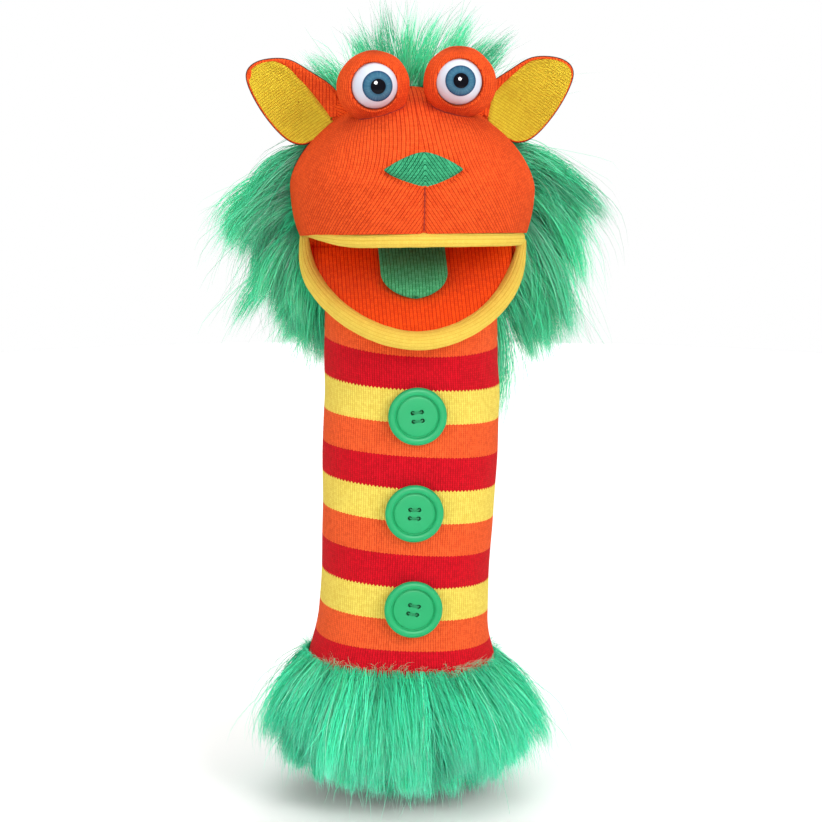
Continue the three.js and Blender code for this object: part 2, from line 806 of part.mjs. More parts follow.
const jawFrame = forwardFrame(0, hingeHeight, -jawDrop).elements;
const inJaw = (shape) => shape.transform(jawFrame);

// The jaw's outline seen from above is a round-ended plate, and it is deepest at the back.
function jawForm({ inset = 0, top = 0, back = 0 }) {
  const length = jawLength - inset;
  const steps = 10;
  const points = 20;
  const rings = [];
  const section = (u) => {
    const along = Math.max(0, u / length);
    const half = (jawHalfWidth - inset) * rounded(along, jawPower);
    const deep = lerp(jawThickness, jawTipThickness, along * along) * rounded(along, 6) - inset;
    const ring = [];
    for (let i = 0; i < points; i++) {
      const angle = (i / points) * 2 * Math.PI;
      const c = Math.cos(angle);
      const s = Math.sin(angle);
      const x = half * Math.sign(c) * Math.pow(Math.abs(c), 0.9);
      ring.push(vec(x, s > 0.001 ? top - hingeGap : -hingeGap - deep * Math.pow(Math.abs(s), 0.85), u));
    }
    return ring;
  };
  if (back < 0) rings.push(section(back));
  for (let k = 0; k <= steps; k++) {
    rings.push(section(length * bluntEnd * Math.sin((k / steps) * (Math.PI / 2))));
  }
  return loft(rings);
}

function jawLayer(low, high) {
  const box = new THREE.BoxGeometry(4 * jawHalfWidth, high - low, 4 * jawLength);
  return placed(box, at(0, (low + high) / 2, 0));
}

function buildJaw() {
  const past = behind(jawBack);
  const trimmed = (shape) => inJaw(shape).subtract(past);
  const outer = jawForm({ back: -jawThickness });
  const hollow = jawForm({ inset: coverWall, top: 2 * coverWall, back: -2 * jawThickness });
  add("jaw_cover", trimmed(outer.subtract(hollow)), orangeKnit);
  const inside = jawForm({ inset: coverWall + seat });
  const palateTop = -hingeGap;
  const boardTop = palateTop - palateThickness - seat;
  const palate = inside.intersect(jawLayer(palateTop - palateThickness, palateTop + 1));
  add("lower_palate", trimmed(palate), orangeKnit);
  add("lower_mouth_board", trimmed(inside.intersect(jawLayer(boardTop - boardThickness, boardTop))), board);

  const steps = 22;
  const radius = (t) => lerp(cornerLip, lowerLip, lipTaper(t)) / 2;
  const points = [];
  for (let k = 0; k <= steps; k++) {
    const around = Math.PI * (1 - k / steps);
    const along = Math.pow(Math.sin(around), 2 / jawPower);
    const across = Math.sign(Math.cos(around)) * Math.pow(Math.abs(Math.cos(around)), 2 / jawPower);
    const thinning = 1 - lipTaper(k / steps);
    const half = jawHalfWidth + 0.8 * thinning;
    const up = lerp(-hingeGap - 0.2 * lowerLip, cornerCurl - hingeGap, thinning * thinning);
    points.push(vec(half * across, up, jawLength * along));
  }
  const curve = new THREE.CatmullRomCurve3(points);
  const lip = sweep(curve, vec(0, 1, 0), steps, radius, radius);
  const outside = lip.subtract(jawForm({ inset: -seat, top: seat, back: -jawThickness }));
  add("lower_lip", mainBody(trimmed(outside)), yellowKnit);
}

function buildTongue() {
  const steps = 10;
  const points = 14;
  const tipShare = 0.38; // the rounded end
  const rings = [];
  const bottom = -hingeGap + seat;
  for (let k = 0; k <= steps; k++) {
    const t = Math.sin((k / steps) * (Math.PI / 2)) * bluntEnd;
    const round = t > 1 - tipShare ? rounded((t - 1 + tipShare) / tipShare) : 1;
    const half = (tongueWidth / 2) * round;
    const thick = lerp(tongueRootThickness, tongueThickness, Math.min(1, t * 2)) * Math.pow(round, 0.5);
    const ring = [];
    for (let i = 0; i < points; i++) {
      const angle = (i / points) * 2 * Math.PI;
      const s = Math.sin(angle);
      const x = half * Math.sign(Math.cos(angle)) * Math.pow(Math.abs(Math.cos(angle)), 0.8);
      const w = bottom + thick * (0.5 + 0.5 * Math.sign(s) * Math.pow(Math.abs(s), 0.7));
      ring.push(vec(x, w, tongueRoot + t * tongueLength));
    }
    rings.push(ring);
  }
  add("tongue", inJaw(loft(rings)), greenKnit);
}

// Mane and crown

// A fan that rises and falls along a length, with shares of it left off at the two ends.
const swelling = (t, start, end, power) => Math.pow(Math.sin(Math.PI * lerp(start, end, t)), power);

// The layer between two places across the puppet.
function slab(from, to) {
  const box = new THREE.BoxGeometry(to - from, 2 * far, 4 * far);
  return placed(box, at((from + to) / 2, 0, 0));
}

function buildFur() {
  const skin = headForm(-seat - furBackingThickness).subtract(headForm(-seat, headBottom - softSeat));
  const ears = earRoom(-1).add(earRoom(1));
  add("mane_backing", mainBody(skin.intersect(behind(furFront)).subtract(ears)), furCloth);

  const head = headForm(-2 * seat - furBackingThickness);
  const neck = loft([sleeveRing(sleeveTop, -softSeat), sleeveRing(headBottom, -softSeat)]);

  // A drooping lobe on each side, widest two fifths of the way down.
  const beside = [];
  for (const [name, side] of sides) {
    const widest = maneReach - maneHalfWidth;
    const height = (share) => lerp(maneSideTop, maneBottom, share);
    const spine = new THREE.CatmullRomCurve3([
      vec(side * maneRootX, maneY, height(0.04)),
      vec(side * lerp(maneRootX, widest, 0.65), maneY, height(0.2)),
      vec(side * widest, maneY, height(0.43)),
      vec(side * lerp(maneTipX, widest, 0.55), maneY, height(0.72)),
      vec(side * maneTipX, maneY, height(0.98)),
    ]);
    const swell = (t) => swelling(Math.pow(t, 0.9), 0.12, 0.9, 0.8);
    const halfAcross = (t) => maneHalfWidth * swell(t);
    const lobe = sweep(spine, vec(0, 1, 0), 14, halfAcross, (t) => maneHalfDepth * swell(t), 12);
    const apart = side < 0 ? slab(-far, -maneSplit) : slab(maneSplit, far);
    const fitted = lobe.subtract(head).subtract(neck).subtract(ears).intersect(apart);
    add("mane_" + name, mainBody(fitted), greenFur);
    beside.push(fitted.translate([0, seat, 0]), fitted.translate([-side * seat, 0, 0]));
  }

  // The back lobe is a thick pad down the middle of the head and neck.
  const endY = headBack + maneBackEnds;
  const padY = headBack + maneBackMiddle;
  const height = (share) => lerp(maneTop, maneBottom, share);
  const spine = new THREE.CatmullRomCurve3([
    vec(0, endY, height(-0.03)),
    vec(0, padY, height(0.3)),
    vec(0, padY, height(0.65)),
    vec(0, endY, height(0.98)),
  ]);
  const halfWidth = (t) => maneBackHalfWidth * swelling(t, 0.14, 0.9, 0.5);
  const halfDepth = (t) => (maneBackReach - padY) * swelling(t, 0.1, 0.93, 0.6);
  const pad = sweep(spine, vec(1, 0, 0), 10, halfDepth, halfWidth, 16);
  let backLobe = pad.subtract(head).subtract(neck).subtract(ears);
  for (const lobe of beside) backLobe = backLobe.subtract(lobe);
  add("mane_back", mainBody(backLobe), greenFur);

  // The crown stands up behind the eyes like a fan.
  const place = at(crownX, furFront + crownHalfDepth + 1, crownTop - crownHalfHeight);
  place.scale.set(crownHalfWidth, crownHalfDepth, crownHalfHeight);
  const fan = placed(ball(1, 10), place);
  const rootHeight = maneTop + 1;
  const above = slab(-far, far).translate([0, 0, rootHeight + 2 * far]);
  const below = pad.add(pad.translate([0, 0, seat])).add(pad.translate([0, -seat, -seat]));
  const crown = fan.subtract(head).subtract(ears).intersect(above).subtract(below);
  add("crown_fur", mainBody(crown), greenFur);
}

buildSleeve();
buildCuff();
buildButtons();
buildNeck();
buildHead();
buildUpperLip();
buildNose();
buildEyes();
buildEars();
buildJaw();
buildTongue();
buildFur();

export default puppet;
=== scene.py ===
"""Looks of a knitted glove puppet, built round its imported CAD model.

Sizes below are millimetres from the head's own axis, which stands LEAN to the right of the origin.
"""

import math

import bmesh
import bpy
import numpy as np
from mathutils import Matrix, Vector


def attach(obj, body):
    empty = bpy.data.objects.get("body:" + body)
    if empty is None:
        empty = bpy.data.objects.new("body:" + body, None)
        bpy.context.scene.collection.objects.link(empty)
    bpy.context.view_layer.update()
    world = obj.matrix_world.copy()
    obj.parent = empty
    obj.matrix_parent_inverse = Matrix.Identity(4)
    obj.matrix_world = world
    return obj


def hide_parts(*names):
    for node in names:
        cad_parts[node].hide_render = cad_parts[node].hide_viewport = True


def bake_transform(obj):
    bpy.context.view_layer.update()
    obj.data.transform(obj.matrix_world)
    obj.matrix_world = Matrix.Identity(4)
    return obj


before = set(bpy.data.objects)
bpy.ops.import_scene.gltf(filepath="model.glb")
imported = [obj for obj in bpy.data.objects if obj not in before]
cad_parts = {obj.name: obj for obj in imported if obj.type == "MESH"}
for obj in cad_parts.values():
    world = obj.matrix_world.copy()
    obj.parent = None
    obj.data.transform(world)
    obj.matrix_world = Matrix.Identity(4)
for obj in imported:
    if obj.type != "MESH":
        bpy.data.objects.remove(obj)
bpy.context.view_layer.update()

scene = bpy.context.scene

MM = 0.001
PI = math.pi
TAU = 2 * PI

# Sizes shared with the CAD model
LEAN = 6.6
CUFF_DEPTH = 47.8
STRIPE = 16.1
STRIPES_TOP = 202.3
SLEEVE_TOP = 186.2
NECK_SPLIT = 221.7
SLEEVE_WIDTHS = (91.6, 84.4)  # at the cuff's top and at the sleeve's top
SLEEVE_DEPTHS = (69, 64)
HEAD_BOTTOM = 235.7
HINGE = 253.5
HINGE_GAP = 3.0
PALATE_RISE = math.radians(9.2)
JAW_DROP = math.radians(34)
JAW_LENGTH = 63.0
JAW_HALF = 51.5
JAW_DEPTH = 21
JAW_POWER = 1.85
HEAD_HALF = 57.8
HEAD_WIDEST = 281.0
HEAD_TOP = 326.8
HEAD_FRONT = 81.0
HEAD_FRONT_HEIGHT = 291.0
HEAD_BACK = 34.0
SIDE_FALL = 63  # how far below its widest place the head's side would close
FRONT_FALL = 66
HEAD_POWER = 2.3  # how square the level sections of the head and sleeve are
MOUTH_CORNER = 4.5  # how far behind the axis the mouth's cut ends
NOSE_Z = 297.5
NOSE_HALF = 18
EYE_APART = 19.5  # from the middle to each eye
HOOD_RADIUS = 16.6
HEM = 45.5  # where the sleeve's knit starts, inside the cuff

FLOOR = -21.5  # the pile's longest tips just clear it
WALE = 1.27  # width of one knitted column on the sleeve
COURSE = 1.0  # height of one knitted row on the sleeve
WALES_ROUND = 204
LIP_WALE = 1.6
TOOTH = 2.0  # width of one tooth where the yarn changes colour

# Small helpers


def smooth(t):
    t = np.clip(t, 0, 1)
    return t * t * (3 - 2 * t)


def mix(a, b, t):
    return a + (b - a) * t


def unit(v):
    return v / (np.linalg.norm(v, axis=-1, keepdims=True) + 1e-12)


def rounded(t, power=2.0):
    """Height of a rounded profile, which is 1 in the middle and 0 at plus or minus 1."""
    return np.maximum(0, 1 - np.abs(t) ** power) ** (1 / power)


def signed_power(value, power):
    return np.sign(value) * np.abs(value) ** power


def bell(x, width):
    """1 at 0, and falling away on both sides."""
    return np.exp(-((x / width) ** 2))


def angles(count):
    return np.linspace(0, TAU, count, endpoint=False)


def upright(p):
    """Unit vectors away from the origin on the level, without their height."""
    return unit(p * [1, 1, 0])


def lumps(p, size, seed):
    """A smooth field of swells of about this size and of half of it, from -1 to 1."""
    g = np.random.default_rng(seed)
    total = np.zeros(p.shape[:-1])
    for octave in range(2):
        for _ in range(5):
            k = unit(g.normal(size=3)) * TAU / (size / 2**octave)
            total += np.sin(p @ k + g.uniform(0, TAU)) / 5 / 1.6**octave
    return total


def point(x, y, z):
    """A place in the scene, in metres."""
    return ((x + LEAN) * MM, y * MM, z * MM)


def dress(piece, body, finish, *nodes):
    """Lets a piece ride on a body and hides the CAD parts that it stands for. finish is not used."""
    if nodes:
        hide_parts(*nodes)
    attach(piece, body)


def mesh_object(name, points, faces, material, corner_uv, uv_name="Knit"):
    mesh = bpy.data.meshes.new(name)
    mesh.vertices.add(len(points))
    places = (np.asarray(points, float) + [LEAN, 0, 0]) * MM
    mesh.vertices.foreach_set("co", places.astype(np.float32).ravel())
    faces = np.asarray(faces, np.int32)
    mesh.loops.add(faces.size)
    mesh.loops.foreach_set("vertex_index", faces.ravel())
    mesh.polygons.add(len(faces))
    starts = np.arange(0, faces.size, faces.shape[1], dtype=np.int32)
    mesh.polygons.foreach_set("loop_start", starts)
    mesh.polygons.foreach_set("use_smooth", np.full(len(faces), True))
    layer = mesh.uv_layers.new(name=uv_name)
    layer.data.foreach_set("uv", np.asarray(corner_uv, np.float32).ravel())
    mesh.update(calc_edges=True)
    obj = bpy.data.objects.new(name, mesh)
    scene.collection.objects.link(obj)
    mesh.materials.append(material)
    return obj


def grid_faces(rows, cols, wrap):
    across = cols if wrap else cols - 1
    r, k = np.meshgrid(np.arange(rows - 1), np.arange(across), indexing="ij")
    n = (k + 1) % cols
    faces = np.stack([r * cols + k, r * cols + n, (r + 1) * cols + n, (r + 1) * cols + k], -1)
    return faces.reshape(-1, 4), r, k


def grid(name, p, uv, material, wrap=False, facing=None, keep=None):
    """A sheet of quads through rows of points.

    facing turns its faces, and without it they face away from its middle.
    keep picks faces by their centres.
    """
    rows, cols = p.shape[:2]
    faces, r, k = grid_faces(rows, cols, wrap)
    corners = np.stack([uv[r, k], uv[r, k + 1], uv[r + 1, k + 1], uv[r + 1, k]], 2).reshape(-1, 4, 2)
    flat = p.reshape(-1, 3)
    a, b, c, d = (flat[faces[:, i]] for i in range(4))
    normal = np.cross(c - a, d - b)
    centre = (a + b + c + d) / 4
    chosen = np.linalg.norm(normal, axis=1) > 1e-5
    if keep is not None:
        chosen &= keep(centre)
    if facing is None:
        side = np.sum(normal * (centre - flat.mean(0)))
    else:
        side = np.sum(normal @ np.array(facing, float))
    faces, corners = faces[chosen], corners[chosen]
    if side < 0:
        faces, corners = faces[:, ::-1], corners[:, ::-1]
    return mesh_object(name, flat, faces, material, corners)


def closed(p):
    """Rows of a tube's map with their first column repeated at the end."""
    return np.concatenate([p, p[:, :1]], 1)


def even_map(width, cols, heights):
    """A map of a tube or sheet: cols places across its width, and one row at each height."""
    return np.stack(np.meshgrid(np.linspace(0, width, cols), heights), -1)


def grid_normals(p):
    """Normals of a tube, away from its middle."""
    along = np.roll(p, -1, 1) - np.roll(p, 1, 1)
    n = unit(np.cross(along, np.gradient(p, axis=0)))
    if np.sum(n * (p - p.reshape(-1, 3).mean(0))) < 0:
        n = -n
    return n


def distances(points):
    """How far along a line each of its points lies."""
    return np.r_[0, np.cumsum(np.linalg.norm(np.diff(points, axis=0), axis=1))]


def even_loop(points, n):
    """n points evenly spaced round a closed loop, and its length."""
    loop = np.vstack([points, points[:1]])
    far = distances(loop)
    t = np.linspace(0, far[-1], n, endpoint=False)
    return np.stack([np.interp(t, far, loop[:, i]) for i in range(3)], 1), far[-1]


def even_line(points, n):
    """n points evenly spaced along a line."""
    far = distances(points)
    t = np.linspace(0, far[-1], n)
    return np.stack([np.interp(t, far, points[:, i]) for i in range(3)], 1)


def spline(a, b, c, d, steps):
    """Points from b towards c on the smooth curve through a, b, c and d."""
    t = np.linspace(0, 1, steps, endpoint=False)[:, None]
    return 0.5 * (2 * b + (c - a) * t + (2 * a - 5 * b + 4 * c - d) * t**2 + (3 * b - a - 3 * c + d) * t**3)


def curve_through(points, n):
    """A smooth line through points, as n points."""
    p = np.asarray(points, float)
    p = np.vstack([2 * p[0] - p[1], p, 2 * p[-1] - p[-2]])
    out = [spline(*p[i - 1 : i + 3], 24) for i in range(1, len(p) - 2)]
    return even_line(np.vstack([*out, p[-2:-1]]), n)


def section(n, half, front, back, x=0.0, z=0.0, slope=0.0):
    """A level ring of the sleeve or head, evenly spaced, from the middle of the back round by the left."""
    a = PI / 2 + angles(1440)
    c, s = np.cos(a), np.sin(a)
    across = half * signed_power(c, 2 / HEAD_POWER)
    along = np.where(s < 0, front, back) * signed_power(s, 2 / HEAD_POWER)
    return even_loop(np.stack([x + across, along, z + across * slope], 1), n)


def leaning_axis(z):
    """How far across the sleeve's axis lies at a height."""
    return -LEAN * (1 - z / STRIPES_TOP)


def sleeve_ring(z, n, inset=0.0):
    """A level ring of the sleeve or neck, drawn in at its waist and shifted as the arm inside leaves it."""
    t = (z - CUFF_DEPTH) / (SLEEVE_TOP - CUFF_DEPTH)
    lean = LEAN / (STRIPES_TOP - CUFF_DEPTH)
    above = min(max(z / STRIPES_TOP, 0), 1)
    depth = mix(*SLEEVE_DEPTHS, t) / 2 - inset
    slope = -lean * min(max(1 - (z - STRIPES_TOP) / (NECK_SPLIT - STRIPES_TOP), 0), 1)
    waist = 3.9 * smooth((z - 40) / 30) * smooth((172 - z) / 95)
    shift = 1.6 * smooth((STRIPES_TOP - z) / 28) * mix(0.4, 1, smooth((z - 50) / 90))
    half = mix(*SLEEVE_WIDTHS, t) / 2 - waist - inset
    return section(n, half, depth, depth, x=shift - LEAN * (1 - above), z=z, slope=slope)[0]


def head_reach(z, inset=0.0):
    """How far the head reaches to each side, to the front and to the back at a height."""
    top = HEAD_TOP - inset
    up = (z - HEAD_WIDEST) / (top - HEAD_WIDEST)
    fore = (z - HEAD_FRONT_HEIGHT) / (top - HEAD_FRONT_HEIGHT)
    side = rounded(up, 1.6) if up > 0 else rounded(up * (top - HEAD_WIDEST) / SIDE_FALL)
    front = rounded(fore, 1.4) if fore > 0 else rounded((HEAD_FRONT_HEIGHT - z) / FRONT_FALL)
    back = rounded(up, 2.6) if up > 0 else 1.0
    return (HEAD_HALF - inset) * side, (HEAD_FRONT - inset) * front, (HEAD_BACK - inset) * back


def palate_height(y):
    return HINGE + HINGE_GAP - y * math.tan(PALATE_RISE)


def in_jaw(p):
    """From the jaw's own frame (across, up, forward) to the head's."""
    p = np.asarray(p, float)
    s, c = math.sin(-JAW_DROP), math.cos(-JAW_DROP)
    y = p[..., 1] * s - p[..., 2] * c
    z = HINGE + p[..., 1] * c + p[..., 2] * s
    return np.stack([p[..., 0], y, z], -1)


# Camera, light and floor


def aimed(obj, place, ahead):
    """Puts a camera or light at a place and lets it look ahead."""
    obj.location = place
    obj.rotation_mode = "QUATERNION"
    obj.rotation_quaternion = ahead.to_track_quat("-Z", "Y")
    scene.collection.objects.link(obj)
    return obj


def area(name, place, aim, size, power, glossy=False):
    light = bpy.data.lights.new(name, "AREA")
    light.shape = "DISK"
    light.size = size
    light.energy = power
    obj = aimed(bpy.data.objects.new(name, light), place, Vector(aim) - Vector(place))
    obj.visible_glossy = glossy
    return obj


def camera_and_light():
    target = Vector((LEAN * MM, 0, 0.170))
    distance = 1.4
    azimuth, elevation = math.radians(-4.5), math.radians(12.5)
    level = math.cos(elevation)
    back = Vector((math.sin(azimuth) * level, -math.cos(azimuth) * level, math.sin(elevation)))
    data = bpy.data.cameras.new("camera")
    data.lens = 126.4
    data.sensor_width = 36
    scene.camera = aimed(bpy.data.objects.new("camera", data), target + distance * back, -back)

    middle = (LEAN * MM, 0, 0.19)
    for name, place, size, power in (
        ("key_light", (1.15, -1.5, 1.2), 1.2, 27),
        ("fill_light", (-1.2, -1.4, 0.8), 1.4, 13),
        ("top_light", (0.0, 0.1, 1.6), 1.2, 9),
        ("back_light", (0.3, 1.5, 0.9), 1.2, 12),
    ):
        area(name, place, middle, size, power)
    # A bright softbox above the camera gives the eyes their highlight.
    glint = area("eye_light", (0.05, -1.25, 0.72), (0, -0.04, 0.33), 0.36, 60, True)
    glint.visible_diffuse = False
    build_world()
    build_floor()


def build_world():
    """White where the camera sees past the floor, and a softer light on everything else."""
    world = bpy.data.worlds.new("studio")
    world.use_nodes = True
    nodes, links = world.node_tree.nodes, world.node_tree.links
    nodes.clear()
    out = nodes.new("ShaderNodeOutputWorld")
    rays = nodes.new("ShaderNodeLightPath")
    white, soft = (nodes.new("ShaderNodeBackground") for _ in range(2))
    white.inputs["Color"].default_value = (1, 1, 1, 1)
    white.inputs["Strength"].default_value = 1.0
    soft.inputs["Color"].default_value = (1.0, 0.99, 0.98, 1)
    soft.inputs["Strength"].default_value = 0.55
    choose = nodes.new("ShaderNodeMixShader")
    links.new(rays.outputs["Is Camera Ray"], choose.inputs[0])
    links.new(soft.outputs[0], choose.inputs[1])
    links.new(white.outputs[0], choose.inputs[2])
    links.new(choose.outputs[0], out.inputs["Surface"])
    scene.world = world
    scene.view_settings.view_transform = "Standard"


def build_floor():
    radius, corners = 1.15, 96
    mesh = bpy.data.meshes.new("floor")
    rim = [(radius * math.cos(a), radius * math.sin(a), FLOOR * MM) for a in angles(corners)]
    mesh.from_pydata(rim, [], [range(corners)])
    floor = bpy.data.objects.new("floor", mesh)
    scene.collection.objects.link(floor)
    paint = Shader("floor", roughness=0.9, specular=0.0)
    paint.colour((0.93, 0.93, 0.93))
    mesh.materials.append(paint.material)


# Materials


class Shader:
    """A Principled material whose node sockets are written as sums."""

    def __init__(self, name, roughness, specular, sheen=0.0, sheen_tint=(1, 1, 1)):
        self.material = bpy.data.materials.new(name)
        self.material.use_nodes = True
        self.nodes = self.material.node_tree.nodes
        self.inputs = self.nodes["Principled BSDF"].inputs
        self.fill(self.inputs, {
            "Roughness": roughness,
            "Specular IOR Level": specular,
            "Sheen Weight": sheen,
            "Sheen Roughness": 0.45,
            "Sheen Tint": sheen_tint,
        })

    def fill(self, sockets, values):
        """Links other sockets to these ones, and sets plain values and colours."""
        for name, value in values.items():
            socket = sockets[name]
            if isinstance(value, bpy.types.NodeSocket):
                self.material.node_tree.links.new(value, socket)
            elif socket.type == "RGBA":
                socket.default_value = (*value, 1)
            else:
                socket.default_value = value

    def node(self, kind, values, output=0, **settings):
        """The output of a new node. settings are the node's own, and values fill its sockets."""
        node = self.nodes.new("ShaderNode" + kind)
        for name, value in settings.items():
            setattr(node, name, value)
        self.fill(node.inputs, values)
        return node.outputs[output]

    def math(self, operation, *values):
        return self.node("Math", dict(enumerate(values)), operation=operation)

    def chain(self, operation, values):
        total = values[0]
        for value in values[1:]:
            total = self.math(operation, total, value)
        return total

    def add(self, *values):
        return self.chain("ADD", values)

    def times(self, *values):
        return self.chain("MULTIPLY", values)

    def scaled(self, value, factor, offset=0.0):
        return self.math("MULTIPLY_ADD", value, factor, offset)

    def sine(self, value):
        return self.math("SINE", value)

    def mix(self, factor, a, b):
        return self.node("Mix", {0: factor, 6: a, 7: b}, 2, data_type="RGBA")

    def tinted(self, colour, factor):
        """A colour times another colour or a number."""
        return self.node("VectorMath", {0: colour, 1: factor}, operation="MULTIPLY")

    def ramp(self, factor, stops, interpolation="LINEAR"):
        """Colours or grey levels along a factor."""
        node = self.nodes.new("ShaderNodeValToRGB")
        node.color_ramp.interpolation = interpolation
        elements = node.color_ramp.elements
        while len(elements) < len(stops):
            elements.new(0.5)
        for element, (place, colour) in zip(elements, stops):
            element.position = place
            element.color = (*np.broadcast_to(colour, 3), 1)
        self.fill(node.inputs, {0: factor})
        return node.outputs[0]

    def uv(self, name="Knit"):
        self.vector = self.node("UVMap", {}, uv_map=name)
        split = self.nodes.new("ShaderNodeSeparateXYZ")
        self.fill(split.inputs, {0: self.vector})
        return split.outputs[0], split.outputs[1]

    def joined(self, *values):
        return self.node("CombineXYZ", dict(enumerate(values)))

    def noise(self, vector, scale, detail=2.0, roughness=0.5):
        values = {"Vector": vector, "Scale": scale, "Detail": detail, "Roughness": roughness}
        return self.node("TexNoise", values)

    def bump(self, height, distance, strength=1.0):
        values = {"Strength": strength, "Distance": distance * MM, "Height": height}
        self.fill(self.inputs, {"Normal": self.node("Bump", values)})

    def colour(self, value):
        self.fill(self.inputs, {"Base Color": value})


def stitches(s, wale, course):
    """Stocking stitch: columns of V-shaped loops. Gives their height, from 0 to 1, and a number for each."""
    u, v = s.uv()
    columns = s.math("DIVIDE", u, wale)
    across = s.scaled(s.math("PINGPONG", columns, 0.5), 2.0)
    rows = s.add(s.math("DIVIDE", v, course), s.times(across, 0.6))
    loop = s.sine(s.times(s.math("FRACT", rows), PI))
    leg = s.sine(s.times(across, PI))
    ridge = s.add(s.times(leg, 0.5), s.times(s.math("SMOOTH_MIN", across, 0.8, 0.3), 0.6))
    height = s.times(ridge, s.scaled(loop, 0.34, 0.66))
    number = s.joined(s.math("FLOOR", columns), s.math("FLOOR", rows))
    each = s.node("TexWhiteNoise", {"Vector": number}, "Value", noise_dimensions="2D")
    return s.math("MINIMUM", height, 1.0), each


# Each yarn's colour on its loops, and the darker colour between them, which is painted shade in the hollows
# between loops
KNIT_COLOURS = {
    "orange": ((0.95, 0.115, 0.018), (0.52, 0.022, 0.003)),
    "stripe": ((0.98, 0.145, 0.034), (0.55, 0.032, 0.006)),
    "mouth": ((0.99, 0.102, 0.007), (0.66, 0.030, 0.002)),
    "red": ((0.75, 0.004, 0.018), (0.30, 0.001, 0.004)),
    "yellow": ((0.94, 0.79, 0.15), (0.66, 0.40, 0.03)),
    "lip": ((0.85, 0.64, 0.11), (0.64, 0.37, 0.03)),
    # A darker copy of the yellow: painted shade on the ears' cupped lining.
    "shaded_yellow": ((0.77, 0.62, 0.043), (0.54, 0.34, 0.015)),
    "green": ((0.060, 0.46, 0.22), (0.004, 0.12, 0.045)),
    # A lighter copy of the nose's green: painted light on the tongue, which lies in the mouth's shade.
    "tongue": ((0.095, 0.58, 0.26), (0.014, 0.22, 0.06)),
}


def yarn(s, height, each, bright, dark, depth=0.35, contrast=1.0):
    """Colours and raises the loops: darker where they lie low, as painted shade between them, and uneven
    from loop to loop and from place to place.
    """
    patches = s.noise(s.vector, 0.045, 2.0)
    fibres = s.noise(s.vector, 3.4, 2.0, 0.6)
    swing = 1.25 * contrast
    # The loops' low parts take the dark colour: painted shade between the loops.
    level = s.add(
        s.scaled(height, swing, 0.62 - 0.54 * swing),
        s.scaled(each, 0.34 * contrast, -0.17 * contrast),
        s.scaled(fibres, 0.7, -0.35),
    )
    s.colour(s.tinted(s.mix(level, dark, bright), s.scaled(patches, 0.12, 0.95)))
    fuzz = s.noise(s.vector, 3.5, 3.0, 0.7)
    s.bump(s.add(height, s.times(fuzz, 0.25)), depth)
    return s.material


def knit(name, colour, wale, course, depth=0.35, contrast=1.0):
    bright, dark = KNIT_COLOURS[colour]
    tint = [min(1, c * 1.05 + 0.01) for c in bright]
    s = Shader(name, roughness=0.95, specular=0.06, sheen=0.12, sheen_tint=tint)
    return yarn(s, *stitches(s, wale, course), bright, dark, depth, contrast)


def striped_knit(name):
    """The sleeve's yarn changes colour every stripe, with a finely toothed edge."""
    s = Shader(name, roughness=0.95, specular=0.06, sheen=0.10, sheen_tint=(1.0, 0.3, 0.15))
    height, each = stitches(s, WALE, COURSE)
    u, v = s.uv()
    tooth = s.scaled(s.math("PINGPONG", s.math("DIVIDE", u, TOOTH), 0.5), 2.0)
    down = s.math("MAXIMUM", s.math("DIVIDE", s.math("SUBTRACT", STRIPES_TOP, v), STRIPE), -0.9)
    edge = s.math("ROUND", down)
    strong = s.math("COMPARE", s.math("FLOORED_MODULO", edge, 3.0), 1.0, 0.1)
    reach = s.scaled(strong, 0.016, 0.014)
    shifted = s.add(down, s.times(s.scaled(tooth, 1.0, -0.5), reach, -2.0))
    index = s.math("FLOORED_MODULO", s.math("FLOOR", shifted), 3.0)
    pick = s.scaled(index, 1 / 3, 0.02)
    order = [KNIT_COLOURS[c] for c in ("red", "yellow", "stripe")]
    bright, dark = (s.ramp(pick, [(i / 3, c[k]) for i, c in enumerate(order)], "CONSTANT") for k in (0, 1))
    return yarn(s, height, each, bright, dark)


def woven(name, colour, pitch=0.7):
    s = Shader(name, roughness=0.9, specular=0.2, sheen=0.1)
    warp, weft = (s.sine(s.times(way, TAU / pitch)) for way in s.uv())
    height = s.scaled(s.times(warp, weft), 0.5, 0.5)
    # Darker where the weave lies low: painted shade between the threads.
    s.colour(s.mix(s.scaled(height, 0.6, 0.3), [c * 0.55 for c in colour], colour))
    s.bump(height, 0.15, 0.8)
    return s.material


def plastic(name, colour, roughness=0.3, speckle=0.06, specular=0.5):
    s = Shader(name, roughness=roughness, specular=specular)
    place = s.node("TexCoord", {}, "Object")
    dark = [c * (1 - speckle) for c in colour]
    bright = [min(1, c * (1 + speckle)) for c in colour]
    s.colour(s.mix(s.noise(place, 60.0, 3.0), dark, bright))
    s.bump(s.noise(place, 220.0, 2.0), 0.05, 0.25)
    return s.material


def pile(name, root, middle, tip, light):
    """Fur fibres. Their map runs along the fibre one way, and by its shade the other. light is the colour of
    a few whitish fibres, which are painted highlights.
    """
    s = Shader(name, roughness=0.55, specular=0.3, sheen=0.15, sheen_tint=(0.7, 1.0, 0.85))
    shade, along = s.uv("OFBake")
    colour = s.ramp(along, [(0.0, root), (0.35, middle), (0.8, middle), (1.0, tip)])
    shaded = s.tinted(colour, s.ramp(shade, [(0.0, 0.42), (0.85, 1.3), (1.0, 1.3)]))
    # A few fibres are whitish: painted highlights in the light colour.
    painted_highlight = s.ramp(shade, [(0.0, 0), (0.88, 0), (0.93, 0.6), (1.0, 0.8)])
    s.colour(s.mix(s.times(painted_highlight, s.math("MINIMUM", s.times(along, 2.2), 1.0)), shaded, light))
    return s.material


